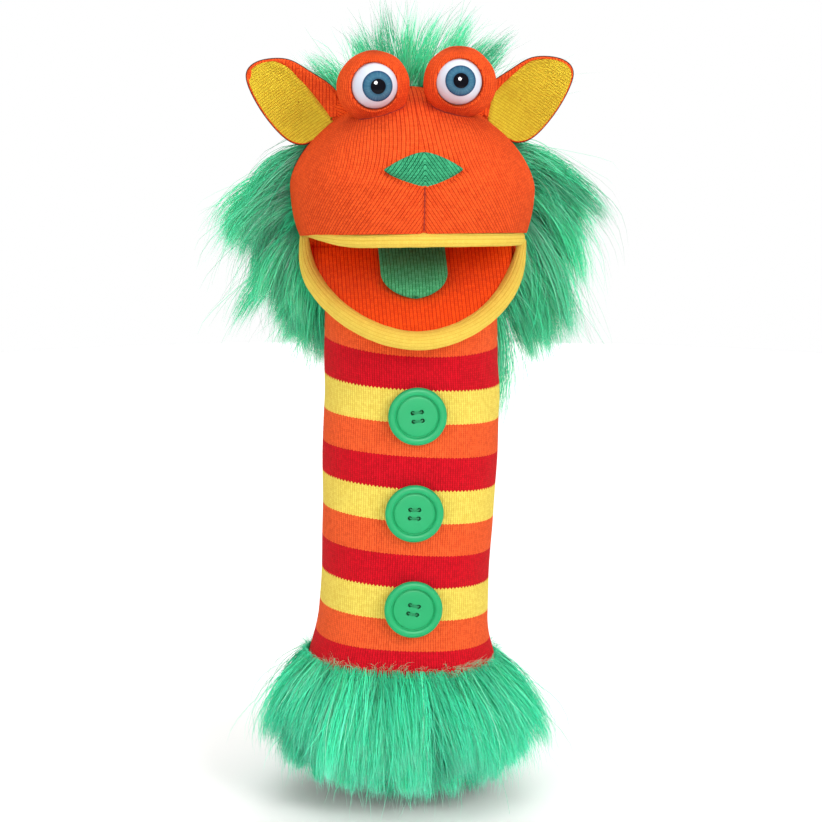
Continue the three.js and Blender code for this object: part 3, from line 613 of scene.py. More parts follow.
IRIS_ANGLE = 0.70
IRIS_STREAKS = [
    (0.0, (0.007, 0.045, 0.11)),
    (0.42, (0.02, 0.095, 0.19)),
    (0.58, (0.07, 0.20, 0.30)),
    (0.72, (0.30, 0.46, 0.55)),
]
# The iris from its middle out, with a dark rim
IRIS_RINGS = [
    (0.0, (0.6, 0.6, 0.6)),
    (0.5, (0.75, 0.8, 0.85)),
    (0.62, (1.25, 1.2, 1.1)),
    (0.82, (1, 1, 1)),
    (0.93, (0.5, 0.58, 0.7)),
    (1.0, (0.2, 0.28, 0.4)),
]


def iris_plastic(name):
    s = Shader(name, roughness=0.12, specular=0.3)
    around, polar = s.uv()
    turned = (s.times(s.math(way, s.times(around, TAU)), 9.0) for way in ("COSINE", "SINE"))
    spokes = s.joined(*turned, s.times(polar, 1.2))
    streaks = s.ramp(s.noise(spokes, 2.2, 4.0, 0.7), IRIS_STREAKS)
    clouds = s.noise(spokes, 0.5, 1.0)
    body = s.mix(s.scaled(clouds, 0.8, -0.1), (0.033, 0.125, 0.21), streaks)
    s.colour(s.tinted(body, s.ramp(s.math("DIVIDE", polar, IRIS_ANGLE), IRIS_RINGS)))
    return s.material


def make_materials():
    return {
        "sleeve": striped_knit("sleeve_knit"),
        "neck": knit("neck_knit", "stripe", WALE, COURSE),
        "head": knit("head_knit", "orange", 1.95, 1.5, 0.5),
        "hood": knit("hood_knit", "orange", 1.6, 1.25, 0.4),
        "mouth": knit("mouth_knit", "mouth", 1.8, 1.4, 0.45),
        "lip": knit("lip_knit", "lip", LIP_WALE, 1.3, contrast=0.45),
        "ear_front": knit("ear_lining_knit", "shaded_yellow", 1.3, 1.1),
        "ear_back": knit("ear_knit", "orange", 1.5, 1.2),
        "green": knit("green_knit", "green", 1.75, 1.4, 0.6, contrast=1.35),
        "tongue": knit("tongue_knit", "tongue", 1.6, 1.3, 0.55, contrast=1.3),
        # Dark red cord: the seams' painted shade along the muzzle's groove and the hoods' creases.
        "seam": woven("seam_shade_thread", (0.42, 0.025, 0.005), 0.5),
        # Very dark cord: round the nose it is painted shade in the crease, and it also runs round the ears'
        # edges.
        "edge": woven("edge_thread", (0.10, 0.02, 0.006), 0.5),
        "fur_cloth": woven("fur_cloth", (0.02, 0.26, 0.12)),
        "lining": woven("lining_cloth", (0.8, 0.72, 0.58)),
        "wadding": woven("wadding", (0.9, 0.88, 0.84), 3.0),
        "board": plastic("board", (0.20, 0.045, 0.015), 0.8, 0.15),
        "button": plastic("button_plastic", (0.014, 0.365, 0.130), 0.5, specular=0.16),
        "thread": woven("thread", (0.02, 0.34, 0.13), 0.35),
        # Very dark thread: painted shade seen through the buttons' holes.
        "shank": woven("shank_shade_thread", (0.004, 0.07, 0.026), 0.5),
        "eye": plastic("eye_plastic", (0.64, 0.68, 0.77), 0.12, 0.01, 0.3),
        "iris": iris_plastic("iris_plastic"),
        "pupil": plastic("pupil_plastic", (0.003, 0.003, 0.006), 0.06, 0.0, 0.12),
        "washer": plastic("washer_plastic", (0.8, 0.8, 0.78), 0.5),
        "mane": pile(
            "mane_pile", (0.014, 0.50, 0.22), (0.042, 0.74, 0.36), (0.15, 0.82, 0.50), (0.48, 0.94, 0.75)
        ),
        "cuff": pile(
            "cuff_pile", (0.022, 0.68, 0.32), (0.044, 0.84, 0.47), (0.21, 0.86, 0.60), (0.52, 0.94, 0.79)
        ),
    }


# Sleeve and neck

NECK_TUCK = 6  # how far the neck's knit goes on above the jaw's underside


def blend(piece, finish, bodies, start, end, *nodes):
    """Bakes a piece's placement into its mesh and hides the CAD parts that it stands for. bodies and finish
    are not used.
    """
    if nodes:
        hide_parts(*nodes)
    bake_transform(piece)


def stripe_rise(p):
    """How far the pattern lies above its level: it bows up beside the jaw and leans on the sleeve."""
    z = p[..., 2]
    share = np.clip((p[..., 0] - leaning_axis(z)) / 44, -1, 1)
    lean = -0.8 - 1.2 * bell(z - 128, 32)
    at_cuff = smooth((64 - z) / 8)
    bow = 3.0 * smooth((z - 186) / 14) + 1.0 * at_cuff
    return 0.9 + lean * share + bow * share**2 + 0.9 * at_cuff


def knit_tube(name, bottom, top, material, rows, cols, inset=0.0, shape=None, ceiling=None):
    """A length of the knit tube. ceiling gives the height that each column may reach."""
    levels = np.linspace(bottom, top, rows)
    p = np.stack([sleeve_ring(z, cols, inset) for z in levels])
    v = np.repeat(levels[:, None], cols, 1)
    if ceiling is not None:
        for column in np.swapaxes(p, 0, 1):
            limit = ceiling(column[-1])
            z = column[:, 2]
            if z[-1] > limit:
                lowered = np.linspace(z[0], max(limit, z[0]), rows)
                for i in range(2):
                    column[:, i] = np.interp(lowered, z, column[:, i])
                column[:, 2] = lowered
        v = p[:, :, 2] - (p[0, :, 2] - bottom)
    v = closed(v - stripe_rise(p))
    u = np.linspace(0, WALES_ROUND * WALE, cols + 1)
    uv = np.stack([np.broadcast_to(u, v.shape), v], -1)
    if shape is not None:
        p = shape(p)
    return grid(name, p, uv, material, wrap=True)


def soft_sleeve(p):
    """Small unevenness of a knit tube on a soft filling, and its flare at the hem."""
    z = p[..., 2]
    axis = np.stack([leaning_axis(z), 0 * z, z], -1)
    swell = 0.7 * lumps(p, 70, 5) * smooth((SLEEVE_TOP - z) / 20)
    swell += 0.5 * smooth((60 - z) / 12)
    return p + upright(p - axis) * swell[..., None]


def build_sleeve(m):
    outer = knit_tube("sleeve_knit", HEM, SLEEVE_TOP, m["sleeve"], 120, 306, shape=soft_sleeve)
    inner = knit_tube("sleeve_inside", HEM, SLEEVE_TOP, m["sleeve"], 40, 204, inset=2.2)
    facing = knit_tube("hem_facing_knit", HEM, 62, m["sleeve"], 12, 204, inset=3.4)
    dress(outer, "sleeve", "red_knit", "sleeve_tube")
    dress(inner, "sleeve", "red_knit")
    dress(facing, "sleeve", "red_knit", "hem_facing")


def jaw_ceiling(jaw):
    """How high the neck's knit may reach at a place: a little above the jaw's underside, out of sight."""
    flat = jaw.reshape(-1, 3)
    free = HEAD_BOTTOM + 1

    def limit(place):
        if place[1] > 2:
            return free
        d = np.hypot(flat[:, 0] - place[0], flat[:, 1] - place[1])
        near = np.argsort(d)[:6]
        if d[near[0]] > 3:
            return free
        weight = 1 / (d[near] + 0.2)
        under = np.sum(flat[near, 2] * weight) / weight.sum()
        return min(under + NECK_TUCK, free)

    return limit


def widened_neck(p):
    """The neck's back spreads towards the head's bottom."""
    share = smooth((p[..., 2] - 225) / (HEAD_BOTTOM - 225))
    p = p.copy()
    p[..., 1] *= np.where(p[..., 1] > 0, mix(1, HEAD_BACK / 31.1, share), 1)
    return p


def build_neck(m, jaw):
    under_jaw = {"cols": 306, "ceiling": jaw_ceiling(jaw)}
    stripe = knit_tube("neck_stripe_knit", SLEEVE_TOP, STRIPES_TOP, m["sleeve"], 24, 306)
    lower = knit_tube("neck_lower_knit", STRIPES_TOP, NECK_SPLIT, m["sleeve"], 30, **under_jaw)
    top = HEAD_BOTTOM + 0.6
    upper = knit_tube("neck_upper_knit", NECK_SPLIT, top, m["neck"], 22, shape=widened_neck, **under_jaw)
    up = unit(np.array([LEAN / (STRIPES_TOP - CUFF_DEPTH), 0, 1.0]))
    base = np.array([0, 0, SLEEVE_TOP])
    end = base + up * (STRIPES_TOP - SLEEVE_TOP) * up[2]
    blend(stripe, "red_knit", ("sleeve", "neck_base"), base, end, "neck_stripe")
    split = (0, 0, NECK_SPLIT)
    blend(lower, "orange_knit", ("neck_base", "neck_mid"), (0, 0, STRIPES_TOP + 1.9), split, "neck_lower")
    blend(upper, "orange_knit", ("neck_mid", "head"), split, (0, 0, HEAD_BOTTOM), "neck_upper")


# Head, jaw and mouth


def tube_points(line, radius, angle, aside):
    """Points round a line. radius and angle have a row for each of its points, and aside sets angle 0."""
    along = unit(np.gradient(line, axis=0))
    side = unit(np.cross(along, aside))
    up = np.cross(side, along)
    across, high = radius * np.cos(angle), radius * np.sin(angle)
    return line[:, None] + side[:, None] * across[..., None] + up[:, None] * high[..., None]


def thread(name, line, radius, material, body, finish):
    """A round cord along a line, thinner at its ends."""
    t = np.linspace(0, 1, len(line))
    size = radius * (0.25 + 0.75 * np.sqrt(np.clip(np.minimum(t, 1 - t) / 0.06, 0, 1)))
    a = angles(8)
    p = tube_points(line, size[:, None], a[None], [0.31, 0.2, 0.93])
    piece = grid(name, p, even_map(2, len(a) + 1, distances(line)), material, wrap=True)
    dress(piece, body, finish)


def head_rings(levels, cols, inset=0.0):
    """Level rings of the head, and the girth of each."""
    rings = [section(cols, *head_reach(z, inset), z=z) for z in levels]
    return np.stack([ring for ring, _ in rings]), np.array([girth for _, girth in rings])


def chevron(z):
    """How far the head's columns have run inwards at a height: upright above the nose, then slanting."""
    top, bend = 301, 6
    t = (top - z) / bend
    return math.tan(math.radians(35)) * bend * np.log1p(np.exp(np.clip(t, -30, 30)))


def nose_half(u):
    """Half the nose's height at a share of its half width."""
    return 8.5 * (1 - np.clip(np.abs(u), 0, 1) ** 1.6)


def muzzle_front(x, z):
    half, front, _ = head_reach(z)
    return -front * rounded(np.asarray(x) / half, HEAD_POWER)


def build_head(m):
    cols = 480
    levels = HEAD_BOTTOM + (HEAD_TOP - 0.02 - HEAD_BOTTOM) * np.sin(np.linspace(0, PI / 2, 190))
    p, girths = head_rings(levels, cols)
    share = np.linspace(-0.5, 0.5, cols + 1)
    u = np.abs(share)[None] * girths[:, None] - chevron(levels)[:, None]
    v = distances(p[:, cols // 2])[:, None]
    uv = np.stack([u, np.broadcast_to(v, u.shape)], -1)
    x, y, z = p[..., 0], p[..., 1], p[..., 2]
    bulge = 0.8 * lumps(p, 60, 3)
    under_nose, muzzle = 292, y < -20
    seam = -1.1 * bell(x, 0.9) * smooth((under_nose - z) / 4) * muzzle
    pinch = -1.0 * bell(x, 7) * smooth((under_nose - z) / 8) * muzzle
    away = np.abs(z - NOSE_Z) - nose_half(x / NOSE_HALF)
    tuck = -1.3 * bell(away, 1.6) * (np.abs(x) < 20) * muzzle
    p = p + grid_normals(p) * (bulge + seam + pinch + tuck)[..., None]
    skin = grid("head_knit", p, uv, m["head"], wrap=True)
    cut_mouth(skin)
    dress(skin, "head", "orange_knit", "head_cover")
    # A dark cord down the middle below the nose: its seam, with painted shade in the groove.
    z = np.linspace(NOSE_Z - 6.5, palate_height(-74) + 1, 60)
    line = np.stack([0 * z, [muzzle_front(0, h) + 1.6 for h in z], z], 1)
    thread("muzzle_seam_shade", line, 0.24, m["seam"], "head", "orange_knit")


def cut_mouth(obj):
    """Takes away the head's skin below the palate and in front of the jaw's hinge."""
    bm = bmesh.new()
    bm.from_mesh(obj.data)
    planes = [
        (Vector(point(0, MOUTH_CORNER, 0)), Vector((0, 1, 0))),
        (Vector(point(0, 0, HINGE + HINGE_GAP)), Vector((0, math.tan(PALATE_RISE), 1)).normalized()),
    ]
    for place, normal in planes:
        everything = bm.verts[:] + bm.edges[:] + bm.faces[:]
        bmesh.ops.bisect_plane(bm, geom=everything, plane_co=place, plane_no=normal, dist=1e-7)
    gone = []
    for face in bm.faces:
        middle = face.calc_center_median()
        if all((middle - place).dot(normal) < 0 for place, normal in planes):
            gone.append(face)
    bmesh.ops.delete(bm, geom=gone, context="FACES")
    bm.to_mesh(obj.data)
    bm.free()
    obj.data.update()


def jaw_points(rows=70, cols=121):
    """The jaw's skin in the head's frame, from the plane where it leaves the head to its tip."""
    theta = np.linspace(0, PI, cols)
    c, s = np.cos(theta), np.sin(theta)
    drop_sine, drop_cosine = 0.559, 0.829
    p = np.zeros((rows, cols, 3))
    for j in range(cols):
        deep_share = max(s[j], 0) ** 0.85
        low = HINGE_GAP + JAW_DEPTH * deep_share
        first = min((drop_sine * low - MOUTH_CORNER) / drop_cosine, 40)
        u = first + (JAW_LENGTH * 0.995 - first) * np.sin(np.linspace(0, PI / 2, rows))
        along = np.clip(u / JAW_LENGTH, 0, 1)
        half = JAW_HALF * rounded(along, JAW_POWER)
        deep = mix(JAW_DEPTH, 6, along**2) * rounded(along, 6)
        p[:, j] = in_jaw(np.stack([half * signed_power(c[j], 0.9), -HINGE_GAP - deep * deep_share, u], -1))
    # Near the hinge the skin meets the head's own outline, and its upper edge rises to the mouth's corner.
    corner_height = 256.4
    for j in range(cols):
        top = max(0.0, 1 - s[j] / 0.45)
        for i in range(rows):
            x, y, z = p[i, j]
            near = smooth((y + 10) / 14.5)
            if near > 0:
                half = head_reach(max(z, HEAD_BOTTOM))[0]
                p[i, j, 0] = mix(x, math.copysign(min(abs(x), half), x), near)
                p[i, j, 2] = mix(z, corner_height, smooth((y + 5) / 9.5) * top**1.5)
    return p


def build_jaw(m, p):
    rows, cols = p.shape[:2]
    centre = cols // 2
    u = np.stack([distances(row) for row in p])
    u = u - u[:, centre : centre + 1]
    u = u[rows // 2] * 0.35 + u * 0.65
    v = distances(p[:, centre])[:, None]
    skin = grid("jaw_knit", p, np.stack([u, np.broadcast_to(v, u.shape)], -1), m["head"])
    blend(skin, "orange_knit", ("head", "jaw"), (0, MOUTH_CORNER, 240), (0, -14, 240), "jaw_cover")


def build_throat(m, jaw):
    """A fold of knit inside the jaw, which spreads when the mouth shuts; it is built as it lies with the
    mouth open.
    """
    cols, rows = 81, 18
    limit = jaw_ceiling(jaw)
    ring = sleeve_ring(222, 720, 1.2)
    angle = np.arctan2(ring[:, 0], -ring[:, 1])
    order = np.argsort(angle)
    wanted = np.radians(np.linspace(-84, 84, cols))
    base = np.stack([np.interp(wanted, angle[order], ring[order, i]) for i in range(3)], 1)
    outward = upright(base)
    # How far out and up the fold goes, from its lower edge to its upper one
    fold = [(-0.7, -5), (-0.6, 3), (-0.2, 6.6), (1.4, 8.0), (2.8, 6.5), (3.4, 3.5), (3.6, 0.6)]
    columns = []
    for b, o in zip(base, outward):
        under = min(limit(b) - NECK_TUCK, 229.5)
        line = [b * [1, 1, 0] + o * out + [0, 0, under + up] for out, up in fold]
        columns.append(curve_through(line, rows))
    p = np.stack(columns, 1)
    sheet = grid("throat_knit", p, even_map(130, cols, np.linspace(0, 22, rows)), m["neck"])
    blend(sheet, "orange_knit", ("head", "jaw"), (0, -20, 220), (0, -36, 220))


def build_mouth(m):
    """One lining: along the upper palate, round the hinge and down the jaw."""
    cols, sheet_rows, turn_rows = 61, 50, 7
    across = np.linspace(-1, 1, cols)
    rows, halves = [], []
    for y in np.linspace(-74.5, 0, sheet_rows):
        z = palate_height(y)
        half, front, _ = head_reach(z)
        rows.append((y, z))
        halves.append(max(0.5, half * rounded(min(abs(y) / front, 1), HEAD_POWER) - 3.0))
    hinge_half = halves[-1]
    for a in np.linspace(0, 1, turn_rows + 2)[1:-1]:
        turn = PI * a
        rows.append((3.0 * math.sin(turn) + 0.8 * a, HINGE + 3.0 * math.cos(turn)))
        halves.append(mix(hinge_half, 48.5, a))
    for u in np.linspace(0, 60.5, sheet_rows):
        q = in_jaw([0, -HINGE_GAP, u])
        rows.append((q[1], q[2]))
        halves.append(max(0.5, JAW_HALF * rounded(u / JAW_LENGTH, JAW_POWER) - 2.8))
    line = np.array([[0, y, z] for y, z in rows])
    p = np.repeat(line[:, None], cols, 1)
    p[..., 0] = np.array(halves)[:, None] * across[None]
    # The jaw's side of the lining is slightly hollow, as cloth held at its rim is.
    jaw_start = sheet_rows + turn_rows
    along = np.clip((np.arange(len(rows)) - jaw_start) / (sheet_rows - 1), 0, 1)
    hollow = 0.5 * np.sin(PI * along) ** 0.7 * (np.arange(len(rows)) >= jaw_start)
    drop = hollow[:, None] * (1 - across[None] ** 2) ** 0.8
    p = p - drop[..., None] * np.array([0, math.sin(-JAW_DROP), math.cos(-JAW_DROP)])
    v = distances(line)[:, None]
    uv = np.stack([p[..., 0], np.broadcast_to(v, p.shape[:2])], -1)
    lining = grid("mouth_lining", p, uv, m["mouth"], facing=(0, -1, 0.35))
    start, end = (0, 0, HINGE + 2.2), (0, 0, HINGE - 2.0)
    blend(lining, "orange_knit", ("head", "jaw"), start, end, "upper_palate", "lower_palate")


def lip(name, node, body, line, up, radii, material, power, wales):
    """A closed knitted band along a line. radii holds its half thickness and its half height, along up."""
    line = curve_through(line[::14], len(line))
    across = unit(np.cross(unit(np.gradient(line, axis=0)), up))
    a = angles(60)
    c, s = (signed_power(value, 2 / power)[None, :, None] for value in (np.cos(a), np.sin(a)))
    ridge = 0.05 * np.abs(np.sin(a * wales / 2))[None, :, None] - 0.03
    wave = 0.12 * lumps(line, 9, 61)[:, None, None]
    thick, high = (r[:, None, None] for r in radii)
    grow = 1 + (ridge + wave) / (thick + 1)
    p = line[:, None] + across[:, None] * thick * grow * c + up * high * grow * s
    p = np.concatenate([mix(line[0], p[:1], 0.02), p, mix(line[-1], p[-1:], 0.02)])
    far = distances(line)
    uv = even_map(wales * LIP_WALE, len(a) + 1, np.r_[far[0], far, far[-1]])
    dress(grid(name, p, uv, material, wrap=True), body, "yellow_knit", node)


def build_lips(m):
    steps = 700
    t = np.linspace(0, 1, steps)
    taper = np.sin(np.minimum(1, np.minimum(t, 1 - t) / 0.16) * PI / 2)
    up = np.array([0, math.sin(PALATE_RISE), math.cos(PALATE_RISE)])
    # Its left end narrows to a point, and its right end stays full.
    point_end = mix(0.14, 1.0, smooth((t - 0.12) / 0.24))
    half_height = mix(3.4, 6.6, taper) / 2 * point_end
    half_thick = mix(3, 5.6, taper) / 2 * point_end
    line = []
    for k in range(steps):
        a = PI * (1 + t[k])
        c, s = math.cos(a), math.sin(a)
        y = 0.0
        # The rim's height and its place forward depend on each other, so they are found in a few rounds.
        for _ in range(5):
            half, front, _ = head_reach(palate_height(y))
            inwards = half_thick[k] + 4.5 * (1 - taper[k])
            x = (half - inwards) * math.copysign(abs(c) ** (2 / HEAD_POWER), c)
            y = -(front - inwards) * abs(s) ** (2 / HEAD_POWER)
        tuck = 0.5 + 0.5 * smooth((t[k] - 0.7) / 0.3)
        line.append(np.array([x, y, palate_height(y)]) - up * (half_height[k] - tuck))
    radii = (half_thick, half_height)
    lip("upper_lip_knit", "upper_lip", "head", np.array(line), up, radii, m["lip"], 2.4, 12)

    full = 8.6
    radius = mix(4.2, full, taper) / 2
    a = PI * (1 - t)
    thin = 1 - taper
    half = JAW_HALF + np.where(t < 0.5, -0.3, 2.1) * thin
    lift = mix(-HINGE_GAP - 0.2 * full, 4.6, thin * thin)
    sideways = half * signed_power(np.cos(a), 2 / JAW_POWER)
    forward = JAW_LENGTH * np.abs(np.sin(a)) ** (2 / JAW_POWER)
    line = in_jaw(np.stack([sideways, lift, forward], -1))
    up = in_jaw([0, 1, 0]) - in_jaw([0, 0, 0])
    lip("lower_lip_knit", "lower_lip", "jaw", line, up, (radius, radius), m["lip"], 2.2, 15)


def build_nose(m):
    tilt = math.radians(24)
    rows, cols = 90, 64
    u = -np.cos(PI * np.linspace(0, 1, rows)) * 0.999
    x = u * NOSE_HALF
    high = nose_half(u)
    deep = 5.5 * (1 - u * u) ** 0.6
    a = angles(cols)
    up = high[:, None] * np.sin(a)[None]
    out = deep[:, None] * np.cos(a)[None]
    front = muzzle_front(x, NOSE_Z)
    y = front[:, None] - out * math.cos(tilt) + up * math.sin(tilt)
    z = NOSE_Z + up * math.cos(tilt) + out * math.sin(tilt)
    y += 0.5 * bell(x[:, None], 0.8) * smooth((296 - z) / 8)
    p = np.stack([np.repeat(x[:, None], cols, 1), y, z], -1)
    sheared = np.abs(p[..., 0]) - math.tan(math.radians(36)) * (306 - z)
    uv = closed(np.stack([sheared, z], -1))
    # Very dark cords along the nose's upper and lower edges: its seams, with painted shade in the crease
    # round the nose.
    for name, side, inwards in (("upper", 1, -0.2), ("lower", -1, 0.4)):
        edge_y = front + inwards + side * high * math.sin(tilt)
        edge = np.stack([x, edge_y, NOSE_Z + side * high * math.cos(tilt)], 1)
        thread("nose_seam_shade_" + name, edge[4:-4], 0.3, m["edge"], "head", "green_knit")
    dress(grid("nose_knit", p, uv, m["green"], wrap=True), "head", "green_knit", "nose")


def build_tongue(m):
    rows, cols = 60, 48
    t = np.sin(np.linspace(0, 1, rows) * PI / 2) * 0.999
    tip_start, tip_length = 0.54, 0.46
    tip = np.where(t > tip_start, rounded((t - tip_start) / tip_length, 2.15), 1.0)
    thick = mix(2.4, 5.5, np.minimum(1, t * 2)) * np.sqrt(tip)
    a = angles(cols)
    x = (16 * tip)[:, None] * signed_power(np.cos(a), 0.8)[None]
    w = -HINGE_GAP + 0.3 + thick[:, None] * (0.5 + 0.5 * signed_power(np.sin(a), 0.7))[None]
    f = np.repeat((1.5 + t * 35.5)[:, None], cols, 1)
    p = in_jaw(np.stack([x, w, f], -1))
    uv = closed(np.stack([x, f], -1))
    dress(grid("tongue_knit", p, uv, m["tongue"], wrap=True), "tongue", "green_knit", "tongue")


# Eyes

POLE = 0.002  # the angle at which a ball starts, next to its pole


def turned_cap(name, centre, radius, end, material, rows, cols, turn=0.0, lift=0.0):
    """Part of a ball round an axis that points forward, turned to the right and lifted by small angles."""
    polar = np.linspace(POLE, end, rows)
    a = angles(cols)
    r = radius * np.sin(polar)[:, None]
    x, z = r * np.cos(a), r * np.sin(a)
    ahead = (radius * np.cos(polar))[:, None]
    ahead, z = ahead * math.cos(lift) - z * math.sin(lift), ahead * math.sin(lift) + z * math.cos(lift)
    ahead, x = ahead * math.cos(turn) - x * math.sin(turn), ahead * math.sin(turn) + x * math.cos(turn)
    p = np.stack([x, -ahead, z], -1) + centre
    return grid(name, p, even_map(1, cols + 1, polar), material, wrap=True)


def build_eyes(m):
    for name, side, rise, turn, lift in (("left", -1, 0.0, 0.10, 0.05), ("right", 1, 1.5, 0.01, 0.13)):
        centre = np.array([side * EYE_APART, -33.0, 331.6 + rise])
        caps = (
            ("eye_ball_", "eye_", "eye_white", 10.8, PI - POLE, m["eye"], 60, 96),
            ("iris_disc_", "iris_", "iris", 10.95, IRIS_ANGLE, m["iris"], 30, 128, turn, lift),
            ("pupil_dot_", "pupil_", "pupil", 11.05, 0.325, m["pupil"], 16, 96, turn, lift),
        )
        for piece, node, finish, *shape in caps:
            dress(turned_cap(piece + name, centre, *shape), "head", finish, node + name)
        build_hood(m, name, side, rise)


def build_hood(m, name, side, rise):
    """A stuffed ball behind the eye, whose knit turns in round it."""
    a = angles(144)
    inwards = 1.3  # how much higher than the ball's middle its opening lies
    middle = np.array([side * EYE_APART, -24.0, 330.3 + rise])
    rows = [(10.2, -30.5, inwards), (10.75, -33.5, inwards), (11.0, -35.2, inwards), (11.6, -36.4, inwards)]
    first = math.asin(12.6 / HOOD_RADIUS)
    for polar in np.linspace(first, PI - 0.01, 60):
        y = middle[1] - HOOD_RADIUS * math.cos(polar)
        rows.append((HOOD_RADIUS * math.sin(polar), y, inwards * smooth(1 - (polar - first) / 0.6)))
    line = np.array(rows)
    line = np.vstack([curve_through(line[:7], 24), line[7:]])
    radius, y, up = line[:, 0:1], line[:, 1:2], line[:, 2:3]
    outwards = (0.3 if side < 0 else 1.2) * (1 - up / inwards)
    x = middle[0] + outwards + radius * np.cos(a)
    p = np.stack([x, np.broadcast_to(y, x.shape), middle[2] + up + radius * np.sin(a)], -1)
    n = grid_normals(p)
    p = p + n * (0.45 * lumps(p, 22, 40 + side))[..., None]
    sag = smooth(n @ unit(np.array([side * 0.9, -0.1, -0.75])) * 1.1 - 0.15)
    p = p + (n * [1, 0.5, 1]) * (sag * 0.8)[..., None]
    ring = closed(p)
    turned = np.arctan2(ring[..., 0] - middle[0], middle[1] - 2 - ring[..., 1])
    uv = np.stack([turned * HOOD_RADIUS, ring[..., 2]], -1)
    hood = grid("eye_hood_" + name, p, uv, m["hood"], wrap=True)
    build_crease_shade(m, name, p[24:64])
    dress(hood, "head", "orange_knit", "eye_socket_" + name)


def inside_head(x, y, z):
    half, front, back = head_reach(z)
    if half < 0.5:
        return False
    reach = back if y > 0 else front
    return (abs(x) / half) ** HEAD_POWER + (abs(y) / max(reach, 0.1)) ** HEAD_POWER < 1


def build_crease_shade(m, name, rings):
    """A dark cord where the hood's rings go into the forehead: painted shade in the crease there."""
    path = []
    for column in np.swapaxes(rings, 0, 1):
        inside = [inside_head(*place) for place in column]
        hits = [i for i in range(1, len(column)) if inside[i] and not inside[i - 1]]
        if hits and column[hits[0], 1] < 5:
            path.append((column[hits[0] - 1] + column[hits[0]]) / 2)
    path = np.array(path)
    start = np.argmax(np.linalg.norm(np.diff(path, axis=0, append=path[:1]), axis=1)) + 1
    line = curve_through(np.roll(path, -start, 0)[::3], 120)
    thread("eye_crease_" + name, line, 0.38, m["seam"], "head", "orange_knit")


# Ears, as shares of their reach from the root

EAR_ROOT = np.array([36.0, 2.0, 318.0])
EAR_REACH = 41.0
EAR_CUP = 7.0
EAR_MIDDLE = np.array([0.415, 0.037])
EAR_OUTLINE = [
    (-0.02, 0.15), (0.29, 0.39), (0.56, 0.53), (0.88, 0.50), (1.00, 0.33),
    (0.85, -0.02), (0.59, -0.34), (0.37, -0.43), (0.15, -0.32), (-0.02, -0.16),
]
# Where the folded-over back of the ear ends, from the ear's top down to its root
EAR_FOLD = [
    (0.70, 0.532), (0.57, 0.47), (0.50, 0.41), (0.42, 0.317),
    (0.34, 0.232), (0.26, 0.132), (0.18, 0.03), (0.06, -0.13),
]
FOLD_STEPS = 90


def nearest(points, place):
    return np.argmin(np.linalg.norm(points - place, axis=1))


def build_ears(m):
    outline = np.array([[a, b, 0] for a, b in EAR_OUTLINE])
    loop = [spline(*(np.roll(outline, 1 - i, 0)[:4]), 20) for i in range(len(outline))]
    edge = even_loop(np.vstack(loop), 200)[0][:, :2]
    for name, side in (("left", -1), ("right", 1)):
        fold = curve_through([[u, v, 0] for u, v in EAR_FOLD], FOLD_STEPS)[:, :2]
        if side > 0:
            # The right ear's fold is narrower.
            top = np.array([edge[nearest(edge, q)] for q in fold])
            fold = mix(top, fold, np.linspace(0.1, 0.62, FOLD_STEPS)[:, None])
        build_ear(m, name, side, edge, fold)
        build_ear_root(m, name, side)


